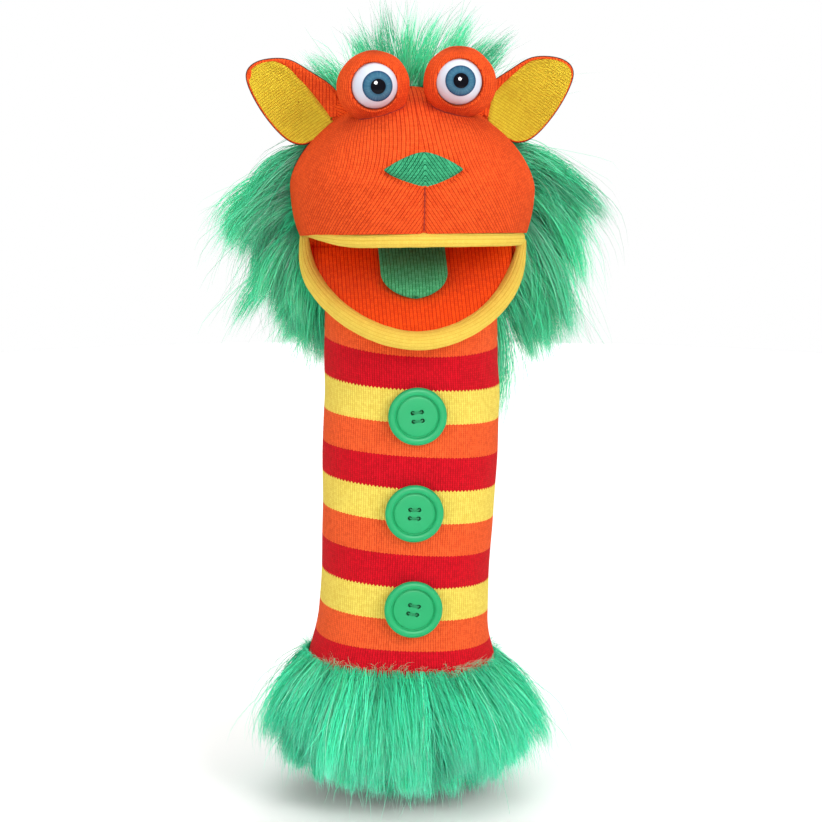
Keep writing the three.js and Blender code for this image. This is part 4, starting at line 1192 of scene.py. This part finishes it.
def build_ear(m, name, side, edge, fold):
    cols = len(edge)
    spokes = edge - EAR_MIDDLE

    def place(q, y):
        x = side * (EAR_ROOT[0] + EAR_REACH * q[..., 0])
        return np.stack([x, np.broadcast_to(y, x.shape), EAR_ROOT[2] + EAR_REACH * q[..., 1]], -1)

    def layer(share, depth, radii, rim=0.0):
        """A dish within the ear's edge, as rings from its middle out."""
        rows = []
        for r in radii:
            y = EAR_ROOT[1] + EAR_CUP * (1 - r * r) + depth + rim * smooth((r - 0.8) / 0.2)
            rows.append(place(EAR_MIDDLE + spokes * r * share, y))
        return np.array(rows)

    radii = np.sin(np.linspace(0.01, 1, 40) * PI / 2)
    # The edge is a rolled seam, so the outside's knit comes round to the front.
    roll = []
    for a in np.linspace(0, PI, 12):
        q = EAR_MIDDLE + spokes * (1.0 + 0.028 * math.sin(a))
        roll.append(place(q, EAR_ROOT[1] + 2.2 + 2.1 * math.cos(a)))
    inside = 0.985
    p = np.concatenate([layer(1.0, 4.3, radii), np.array(roll), layer(inside, 0.0, [1.0, 0.97, 0.94, 0.9])])
    uv = closed(p[..., [0, 2]])
    shell = grid("ear_knit_" + name, p, uv, m["ear_back"], wrap=True, facing=(0, 1, 0))
    dress(shell, "ear_" + name, "orange_knit", "ear_" + name)

    # The lining dips beside the fold's end and lies flat under the fold.
    p = layer(inside, -0.7, radii, rim=0.5)
    q = np.stack([(side * p[..., 0] - EAR_ROOT[0]) / EAR_REACH, (p[..., 2] - EAR_ROOT[2]) / EAR_REACH], -1)
    apart = q[..., None, :] - fold
    gap = np.linalg.norm(apart, axis=-1)
    k = np.argmin(gap, axis=-1)
    run = np.gradient(fold, axis=0)[k]
    apart = np.take_along_axis(apart, k[..., None, None], axis=-2)[..., 0, :]
    under = np.sign(run[..., 0] * apart[..., 1] - run[..., 1] * apart[..., 0])
    gap = np.min(gap, axis=-1) * EAR_REACH * under
    p[..., 1] -= 1.0 * bell(gap - 1.5, 1.3)
    p[..., 1] += 1.2 * smooth(-gap / 1.5)
    p[..., 1] += 0.35 * lumps(p, 16, 50 + side)
    along, across = 0.55, 0.83 * side  # the lining's columns lean
    u = p[..., 0] * along + p[..., 2] * across
    v = p[..., 2] * along - p[..., 0] * across
    uv = closed(np.stack([u, v], -1))
    lining = grid("ear_lining_knit_" + name, p, uv, m["ear_front"], wrap=True, facing=(0, -1, 0))
    dress(lining, "ear_" + name, "yellow_knit", "ear_lining_" + name)

    # The back's knit is turned forward over the lining along the ear's upper edge.
    first, last = nearest(edge, EAR_FOLD[0]), nearest(edge, (-0.035, -0.10))
    step = 1 if (last - first) % cols < cols / 2 else -1
    upper = edge[(first + step * np.arange((last - first) * step % cols + 1)) % cols]
    upper = even_line(np.c_[upper, 0 * upper[:, 0]], FOLD_STEPS)[:, :2]
    w = np.linspace(0, 1, 16)[:, None, None]
    q = upper[None] * (1 - w) + fold[None] * w
    bearing = np.arctan2(spokes[:, 1], spokes[:, 0])
    order = np.argsort(bearing)
    away = q - EAR_MIDDLE
    limit = np.linalg.norm(spokes, axis=1)[order]
    limit = np.interp(np.arctan2(away[..., 1], away[..., 0]), bearing[order], limit, period=TAU)
    r = np.minimum(np.linalg.norm(away, axis=-1) / limit, 1.02)
    lift = 1.3 * np.sin(PI * w[..., 0]) ** 0.5
    p = place(q, EAR_ROOT[1] + EAR_CUP * (1 - r * r) - 0.5 - lift)
    p[0, :, 1] = EAR_ROOT[1] + 1.5
    p[-1, :, 1] += 0.8
    turned = grid("ear_fold_" + name, p, p[..., [0, 2]], m["hood"], facing=(0, -1, 0))
    dress(turned, "ear_" + name, "orange_knit")

    rim = place(EAR_MIDDLE + spokes[::2] * 1.03, EAR_ROOT[1] + 1.6)
    line = even_line(np.vstack([rim, rim[:1]]), 240)
    thread("ear_edge_" + name, line, 0.34, m["edge"], "ear_" + name, "orange_knit")


def build_ear_root(m, name, side):
    """The gathered knit between an ear and the head."""
    a = angles(48)
    pleat = 1 + 0.05 * np.sin(9 * a)
    rows = []
    for t in np.linspace(0, 1, 20):
        x = side * mix(EAR_ROOT[0] - 14, EAR_ROOT[0] + 2.5, t)
        middle = np.array([x, EAR_ROOT[1] + mix(-1.0, 2.2, t), EAR_ROOT[2] + mix(-6.5, 0.0, t)])
        narrow = max(1 - t**6, 0.0004) ** 0.5
        deep, high = mix(5.0, 2.4, smooth(t)) * narrow, mix(8.5, 6.0, smooth(t)) * narrow
        rows.append(middle + np.stack([0 * a, deep * pleat * np.cos(a), high * pleat * np.sin(a)], 1))
    uv = even_map(40, len(a) + 1, np.linspace(0, 18, len(rows)))
    piece = grid("ear_root_" + name, np.array(rows), uv, m["hood"], wrap=True)
    dress(piece, "head", "orange_knit")


# Buttons

LOWEST_BUTTON = 80.7
BUTTON_PITCH = 47.2
BUTTON_SHIFT = (2.2, 1.2, 1.2)  # how far the knit carries each button to the right, from the lowest up
BUTTON_FACE = 2.45  # height of a button's sunk face over its back
# Radius and height over its back, from the back's middle round the rim to the face's middle
BUTTON_PROFILE = [
    (0.05, 0.0), (12.6, 0.0), (13.5, 0.35), (14.0, 1.5), (13.75, 2.6), (13.0, 3.25),
    (12.1, 3.4), (11.2, 3.3), (10.55, 2.9), (10.3, 2.3), (10.1, 1.9), (9.8, 1.95),
    (9.3, 2.4), (6.5, 2.5), (3.5, 2.45), (0.05, 2.45),
]


def build_buttons(m):
    line = np.array([[r, h, 0] for r, h in BUTTON_PROFILE])
    line = np.vstack([line[:1], curve_through(line[1:], 90), line[-1:]])
    radius, high = line[:, 0:1], line[:, 1:2]
    a = angles(96)
    for i, name in enumerate(("bottom", "middle", "top")):
        z = LOWEST_BUTTON + i * BUTTON_PITCH
        x = BUTTON_SHIFT[i] + leaning_axis(z)
        base = sleeve_ring(z, 720)[:, 1].min() - 1.6
        around = x + radius * np.cos(a)
        p = np.stack([around, base - np.broadcast_to(high, around.shape), z + radius * np.sin(a)], -1)
        uv = even_map(60, len(a) + 1, np.arange(len(line)) * 0.5)
        button = grid("button_disc_" + name, p, uv, m["button"], wrap=True)
        holes = drill(button, x, base, z, math.radians(-12 + 9 * i))
        dress(button, "sleeve", "button", "button_" + name)
        build_stitches(m, name, holes, base)
        build_shank(m, name, holes, base)


def drill(button, x, base, z, turn):
    """Cuts four holes through a button, and gives their places."""
    bm = bmesh.new()
    bm.from_mesh(button.data)
    bmesh.ops.holes_fill(bm, edges=[e for e in bm.edges if e.is_boundary], sides=0)
    bmesh.ops.recalc_face_normals(bm, faces=bm.faces)
    bm.to_mesh(button.data)
    bm.free()
    holes, cutters = [], []
    apart, hole_radius, deep = 2.1, 1.05, 12
    for hx, hz in ((-apart, -apart), (apart, -apart), (apart, apart), (-apart, apart)):
        across = hx * math.cos(turn) - hz * math.sin(turn)
        up = hx * math.sin(turn) + hz * math.cos(turn)
        holes.append((x + across, z + up))
        bpy.ops.mesh.primitive_cylinder_add(
            vertices=24,
            radius=hole_radius * MM,
            depth=deep * MM,
            location=point(x + across, base, z + up),
            rotation=(PI / 2, 0, 0),
        )
        cutters.append(bpy.context.active_object)
    for cutter in cutters:
        cut = button.modifiers.new("hole", "BOOLEAN")
        cut.object = cutter
        cut.operation = "DIFFERENCE"
        cut.solver = "EXACT"
    graph = bpy.context.evaluated_depsgraph_get()
    graph.update()
    mesh = bpy.data.meshes.new_from_object(button.evaluated_get(graph))
    button.modifiers.clear()
    button.data = mesh
    for cutter in cutters:
        bpy.data.objects.remove(cutter, do_unlink=True)
    return holes


def build_stitches(m, name, holes, base):
    """Sewing thread down each hole, and two short stitches between them, a little sunk."""
    face = base - BUTTON_FACE
    a = angles(10)
    pieces = []
    for start, end in ((0, 1), (2, 3)):
        (ax, az), (bx, bz) = holes[start], holes[end]
        # How far along the stitch, and how deep
        steps = [
            (0, base + 1.2), (0, face + 1.2), (0.12, face - 0.15), (0.5, face - 0.55),
            (0.88, face - 0.15), (1, face + 1.2), (1, base + 1.2),
        ]
        path = curve_through([[mix(ax, bx, t), y, mix(az, bz, t)] for t, y in steps], 60)
        twist = np.linspace(0, 9, len(path)) * 2.4
        radius = 0.42 * (1 + 0.22 * np.cos(2 * a)[None])
        pieces.append(tube_points(path, radius, a[None] + twist[:, None], [0.3, 0.2, 1.0]))
    p = np.stack(pieces)
    rows, cols = p.shape[1:3]
    faces = grid_faces(rows, cols, True)[0]
    every = np.vstack([faces + i * rows * cols for i in range(len(pieces))])
    uv = np.tile(np.array([[0, 0], [0.2, 0], [0.2, 0.2], [0, 0.2]]), (len(every), 1, 1))
    piece = mesh_object("button_stitches_" + name, p.reshape(-1, 3), every, m["thread"], uv)
    dress(piece, "sleeve", "thread", "button_thread_" + name)


def build_shank(m, name, holes, base):
    """The thread wound under a button, which closes its holes from behind; its very dark colour is painted
    shade inside the holes.
    """
    x, z = (sum(hole[k] for hole in holes) / 4 for k in (0, 1))
    a = angles(40)
    turns = [(0.02, 0.05), (3.6, 0.05), (4.6, 0.25), (4.4, 0.9), (3.8, 1.5), (3.6, 1.9)]
    rings = [np.stack([x + r * np.cos(a), base + back + 0 * a, z + r * np.sin(a)], 1) for r, back in turns]
    uv = even_map(26, len(a) + 1, np.linspace(0, 6, len(turns)))
    dress(grid("button_shank_" + name, np.stack(rings), uv, m["shank"], wrap=True), "sleeve", "thread")


# Hidden soft pieces


def build_pocket(m):
    """The finger pocket: a sewn cloth tube, open at the back."""
    up = np.array([0, math.sin(PALATE_RISE), math.cos(PALATE_RISE)])
    forward = np.array([0, -math.cos(PALATE_RISE), math.sin(PALATE_RISE)])
    start = np.array([0, 0, palate_height(0)]) + up * 4.4
    a = angles(96)
    c, s = signed_power(np.cos(a), 0.45), signed_power(np.sin(a), 0.6)
    length, half, high = 54, 34.5, 8.7
    levels = np.r_[np.linspace(0, 1, 30), 1.0, 0.97]
    shrink = np.r_[np.ones(27), 0.98, 0.94, 0.86, 0.4, 0.02]
    rings = []
    for t, k in zip(levels, shrink):
        centre = start + forward * (length * t) + up * 9.0
        across = np.stack([half * k * c, 0 * c, 0 * c], 1)
        rings.append(centre + across + up[None] * (high * k * s)[:, None])
    p = np.array(rings)
    p[..., 2] += 0.5 * lumps(p, 20, 9)
    uv = even_map(170, len(a) + 1, np.linspace(0, 60, len(p)))
    dress(grid("finger_pocket_cloth", p, uv, m["lining"], wrap=True), "head", "lining", "finger_pocket")


def build_wadding(m):
    """The stuffing that fills the head above the mouth board."""
    rows, cols = 26, 96
    p, _ = head_rings(np.linspace(283, 321, rows), cols, 4.0)
    p = p - grid_normals(p) * np.abs(1.6 * lumps(p, 14, 21))[..., None]
    uv = even_map(300, cols + 1, np.linspace(0, 60, rows))
    wadding = grid("head_wadding", p, uv, m["wadding"], wrap=True)
    dress(wadding, "head", "wadding", "head_stuffing")


def paint_hidden(m):
    """The boards and washers stay as the CAD model has them, in colours of their own."""
    nodes = {
        "board": ("upper_mouth_board", "lower_mouth_board"),
        "washer": ("eye_washer_left", "eye_washer_right"),
    }
    for material, names in nodes.items():
        for name in names:
            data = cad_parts[name].data
            data.materials.clear()
            data.materials.append(m[material])


# Fur


def ribbons(name, lines, width, shade, material, twist):
    """Flat tapered fibres along lines of points (count x steps x 3)."""
    count, steps = lines.shape[:2]
    along = unit(np.gradient(lines, axis=1))
    side = unit(np.cross(along, twist[:, None]))
    t = np.linspace(0, 1, steps)
    taper = (1 - t**2.2) * 0.92 + 0.08
    half = side * (width[:, None] * taper[None] / 2)[..., None]
    p = np.stack([lines - half, lines + half], 2).reshape(-1, 3)
    base = (np.arange(count) * steps * 2)[:, None]
    k = np.arange(steps - 1)[None] * 2
    faces = np.stack([base + k, base + k + 1, base + k + 3, base + k + 2], -1).reshape(-1, 4)
    s = np.repeat(shade, steps - 1)
    lo, hi = np.tile(t[:-1], count), np.tile(t[1:], count)
    e = 0.004
    corners = ((s - e, lo), (s + e, lo), (s + e, hi), (s - e, hi))
    uv = np.stack([np.stack(corner, 1) for corner in corners], 1)
    return mesh_object(name, p, faces, material, np.clip(uv, 0.002, 0.998), "OFBake")


def grow(root, first, last, length, steps, bend):
    """Fibres that leave their roots along first and turn towards last."""
    t = np.linspace(0, 1, steps)
    lines = np.zeros((len(root), steps, 3))
    lines[:, 0] = root
    for i in range(1, steps):
        k = ((t[i - 1] + t[i]) / 2) ** (1 / bend)
        direction = unit(first * (1 - k) + last * k)
        lines[:, i] = lines[:, i - 1] + direction * (length / (steps - 1))[:, None]
    return lines


def gather(lines, group, pull, loose):
    """Draws the fibres of each group together towards their tips."""
    steps = lines.shape[1]
    mean = np.zeros((group.max() + 1, steps, 3))
    number = np.bincount(group, minlength=group.max() + 1)
    np.add.at(mean, group, lines)
    mean /= np.maximum(number, 1)[:, None, None]
    share = pull * np.linspace(0, 1, steps) ** 1.2
    return lines + (mean[group] - lines) * (share[None, :] * loose[:, None])[..., None]


def in_clumps(root, number, seed):
    """The nearest of some roots, drawn at random, for each root."""
    g = np.random.default_rng(seed)
    centres = root[g.choice(len(root), number, replace=False)]
    best = np.full(len(root), 1e18)
    which = np.zeros(len(root), int)
    for i, c in enumerate(centres):
        d = np.sum((root - c) ** 2, 1)
        closer = d < best
        best[closer] = d[closer]
        which[closer] = i
    return which


def kept_near(lines):
    """Bends stray fibres back before they leave the puppet's outline."""
    # For each axis, how far out fibres start to bend and how far they never pass
    for axis, soft, hard in ((0, 94, 104.5), (1, 62, 73.5)):
        reach = np.abs(lines[..., axis])
        bent = soft + (hard - soft) * np.tanh((reach - soft) / (hard - soft))
        lines[..., axis] = np.sign(lines[..., axis]) * np.where(reach > soft, bent, reach)
    lines[..., 2] = np.maximum(lines[..., 2], FLOOR + 1)
    return lines


def fur(
    name, node, body, material, root, first, last, length, locks, seed, bend=1.2, curl=1.8, pull=0.8,
    width=(0.24, 0.46), sway=0.24, ragged=0.10, short=0.6, facing=-1.6,
):
    """Long pile in pointed locks, each made of finer wisps, with a few stray fibres.

    curl, sway and ragged are how much fibres wave, and how much locks differ in direction and length.
    short is how much shorter than the longest the shortest fibres are.
    """
    g = np.random.default_rng(seed)
    count, steps, wisps = len(root), 9, locks * 6
    lock = in_clumps(root, locks, seed)
    wisp = in_clumps(root, wisps, seed + 1)
    turn = g.normal(size=(locks, 3)) * sway
    jitter = g.normal(size=(count, 3)) * 0.15
    first = unit(first + jitter + turn[lock] * 0.6)
    last = unit(last + jitter * 1.2 + turn[lock])
    length = length * (1 + ragged * g.normal(size=locks).clip(-1.6, 1.6))[lock]
    length = length * (1.12 - short * g.uniform(0, 1, count) ** 1.1)
    lines = grow(root, first, last, length, steps, bend)
    t = np.linspace(0, 1, steps)[None, :, None]
    wave = np.sin(g.uniform(0.6, 1.5, (count, 1, 1)) * TAU * t + g.uniform(0, TAU, (count, 1, 3)))
    lines += wave * (t**1.3) * curl * g.uniform(0.2, 1.0, (count, 1, 1))
    loose = np.where(g.uniform(0, 1, count) < 0.07, 0.1, g.uniform(0.5, 1.0, count))
    lines = gather(lines, wisp, 0.6, loose)
    lines = kept_near(gather(lines, lock, pull, loose))
    # Locks and wisps differ in tone, partly at random and partly as painted sheen, and the brightest few
    # fibres take the highlight colour.
    tone_and_sheen = g.normal(0, 1, wisps)[wisp] * 0.6 + g.normal(0, 1, locks)[lock] * 0.8
    shade = np.clip(g.normal(0.44, 0.10, count) + 0.19 * tone_and_sheen, 0.02, 0.84)
    painted_highlight = (tone_and_sheen > 2.1) | (g.uniform(0, 1, count) < 0.022)
    shade = np.where(painted_highlight, g.uniform(0.9, 0.98, count), shade)
    twist = unit(g.normal(size=(count, 3)) + [0, facing, 0])
    piece = ribbons(name, lines, g.uniform(*width, count), shade, material, twist)
    dress(piece, body, "mane_fur" if body == "head" else "cuff_fur", node)


def head_surface(theta, heights):
    """Points just outside the head. theta runs from 0 at the back to plus or minus pi at the front."""
    rows = []
    for t, z in zip(theta, heights):
        half, front, back = head_reach(min(z, HEAD_TOP - 0.5), -1.0)
        s, c = math.sin(t), math.cos(t)
        x = half * math.copysign(abs(s) ** (2 / HEAD_POWER), s)
        y = (back if c > 0 else front) * math.copysign(abs(c) ** (2 / HEAD_POWER), c)
        rows.append((x, y, z))
    return np.array(rows)


def build_mane(m):
    g = np.random.default_rng(3)
    count, bottom, top = 11500, 230, 299
    for name, side in (("left", -1), ("right", 1)):
        z = g.uniform(bottom, top, count)
        t = (z - bottom) / (top - bottom)
        high = t**1.6
        root = head_surface(side * g.uniform(0.86, 1.34, count), z)
        first = np.stack([side * mix(0.48, 1.0, high), np.full(count, 0.08), mix(-0.80, -0.22, t)], 1)
        last = np.stack([side * mix(0.0, 0.46, high), np.full(count, 0.02), mix(-1.0, -0.88, t)], 1)
        length = mix(69 + 8 * side, 65 + side, t) * g.uniform(0.92, 1.0, count)
        fur(
            "mane_pile_" + name, "mane_" + name, "head", m["mane"], root, first, last, length,
            58, 60 + side, curl=2.3, pull=0.88, ragged=0.19, short=0.8, width=(0.15, 0.32),
        )

    count, bottom, top = 9500, 228, 321
    z = g.uniform(bottom, top, count)
    t = (z - bottom) / (top - bottom)
    root = head_surface(g.uniform(-0.86, 0.86, count), z)
    out = unit(np.stack([root[:, 0] * 0.6, root[:, 1], np.zeros(count)], 1))
    first = out + np.stack([0 * t, 0 * t, mix(-0.8, 0.0, t)], 1)
    last = out * 0.10 + [0, 0, -1.0]
    length = np.full(count, 48.0)
    fur(
        "mane_pile_back", "mane_back", "head", m["mane"], root, first, last, length, 80, 71,
        bend=1.0, facing=1.6,
    )


def build_mane_cloth(m):
    """The cloth that the mane's fibres stand in."""
    rows, cols = 50, 180
    p, _ = head_rings(np.linspace(HEAD_BOTTOM - 0.3, HEAD_TOP - 1.2, rows), cols, -1.2)
    uv = even_map(300, cols + 1, np.linspace(0, 90, rows))
    cloth = grid("mane_cloth", p, uv, m["fur_cloth"], wrap=True, keep=lambda c: c[:, 1] > 14.0)
    dress(cloth, "head", "fur_cloth", "mane_backing")


def build_crown(m):
    g = np.random.default_rng(17)
    count = 3200
    x = g.uniform(-40, 37, count)
    y = g.uniform(16, 30, count)
    root = []
    for across, back in zip(x, y):
        low, high = 281.0, HEAD_TOP - 0.3
        for _ in range(18):
            middle = (low + high) / 2
            low, high = (middle, high) if inside_head(across, back, middle) else (low, middle)
        root.append((across, back, low))
    fan = x / 40
    wide = np.abs(fan)
    lean = np.where(fan < 0, 0.88, 1.25)
    first = np.stack([fan * 0.7 * lean + 0.03, 0.25 * wide, 1.0 - 0.2 * wide], 1)
    last = np.stack([fan * 1.3 * lean + 0.12, 0.1 + 0.4 * wide, 0.8 - 0.35 * wide * lean], 1)
    length = (59 - 8 * wide + 13 * np.clip(fan, 0, 1)) * g.uniform(0.7, 1.0, count)
    fur(
        "crown_pile", "crown_fur", "head", m["mane"], np.array(root), first, last, length, 46, 81,
        curl=3.6, pull=0.78, sway=0.32, short=0.72, width=(0.2, 0.38),
    )


CUFF_COLS = 240


def cuff_ring(z, out):
    """A level ring round the cuff's cloth, which flares towards the bottom."""
    above = max(z, 0)
    flare = 4 * (1 - above / CUFF_DEPTH)
    half = SLEEVE_WIDTHS[0] / 2 + flare + out
    deep = SLEEVE_DEPTHS[0] / 2 + flare + out
    return section(CUFF_COLS, half, deep, deep, x=leaning_axis(above), z=z)[0]


def cuff_slope(root):
    """The pile's edge on the sleeve falls towards the right."""
    return 0.03 * (root[:, 0] + 3)


def cuff_outwards(root):
    return unit((root - [-LEAN * 0.85, 0, 0]) * [1, 1.3, 0])


def build_cuff(m):
    levels = np.linspace(0.2, 46.5, 20)
    outer = [cuff_ring(z, 0) for z in levels]
    inner = [cuff_ring(z, -2.2) for z in levels[::-1]]
    p = np.array(outer + inner + outer[:1])
    uv = even_map(260, CUFF_COLS + 1, np.linspace(0, 95, len(p)))
    cloth = grid("cuff_cloth", p, uv, m["fur_cloth"], wrap=True)
    dress(cloth, "sleeve", "fur_cloth", "cuff_backing")

    g = np.random.default_rng(29)
    count, lowest, highest = 12400, 2, 50
    rings = np.stack([cuff_ring(z, 0.2) for z in np.linspace(lowest, highest, highest - lowest + 1)])
    for k, (name, start, facing) in enumerate((("front", 0.25, -1.6), ("back", 0.75, 1.6))):
        share = (g.uniform(0, 0.5, count) + start) % 1.0
        z = highest - 47 * g.uniform(0, 1, count) ** 1.15
        low = np.clip((z - lowest).astype(int), 0, highest - lowest - 1)
        f = (z - lowest - low)[:, None]
        col = (share * CUFF_COLS).astype(int) % CUFF_COLS
        root = rings[low, col] * (1 - f) + rings[low + 1, col] * f
        root[:, 2] = z - cuff_slope(root)
        out = cuff_outwards(root)
        first = out * mix(0.1, 0.5, z / highest)[:, None] + [0.06, 0, -0.6]
        last = out * -0.05 + [0.07, 0, -1.0]
        length = mix(0.84, 1.0, g.uniform(0, 1, count)) * (z + 17) / 0.93
        length *= 1 - 0.16 * np.abs(root[:, 0] / 52).clip(0, 1) ** 2
        fur(
            "cuff_pile_" + name, "cuff_fur", "sleeve", m["cuff"], root, first, last, length, 90, 101 + k,
            bend=0.3, curl=2.0, pull=0.88, width=(0.14, 0.32), sway=0.08, ragged=0.12, short=0.62,
            facing=facing,
        )

    # Short loose fibres lie over the knit's edge.
    count = 3400
    share = g.uniform(0, 1, count)
    ring = cuff_ring(48, 1.0)
    places = np.linspace(0, 1, CUFF_COLS, endpoint=False)
    root = np.stack([np.interp(share, places, ring[:, i], period=1) for i in range(3)], 1)
    root[:, 2] = 44 + 7 * g.uniform(0, 1, count) ** 1.5 - cuff_slope(root)
    out = cuff_outwards(root)
    first = out * 0.5 + [0.1, 0, 0.6]
    last = out * 0.7 + g.normal(size=(count, 3)) * 0.6 + [0.1, 0, -0.2]
    length = g.uniform(3, 8, count)
    fur(
        "cuff_fuzz", "cuff_fur", "sleeve", m["cuff"], root, first, last, length, 500, 131,
        bend=1.0, curl=0.5, pull=0.2, sway=0.3, width=(0.05, 0.11),
    )


def main():
    camera_and_light()
    m = make_materials()
    build_sleeve(m)
    jaw = jaw_points()
    build_neck(m, jaw)
    build_head(m)
    build_jaw(m, jaw)
    build_throat(m, jaw)
    build_mouth(m)
    build_lips(m)
    build_nose(m)
    build_tongue(m)
    build_eyes(m)
    build_ears(m)
    build_buttons(m)
    build_pocket(m)
    build_wadding(m)
    paint_hidden(m)
    build_mane(m)
    build_crown(m)
    build_mane_cloth(m)
    build_cuff(m)


main()
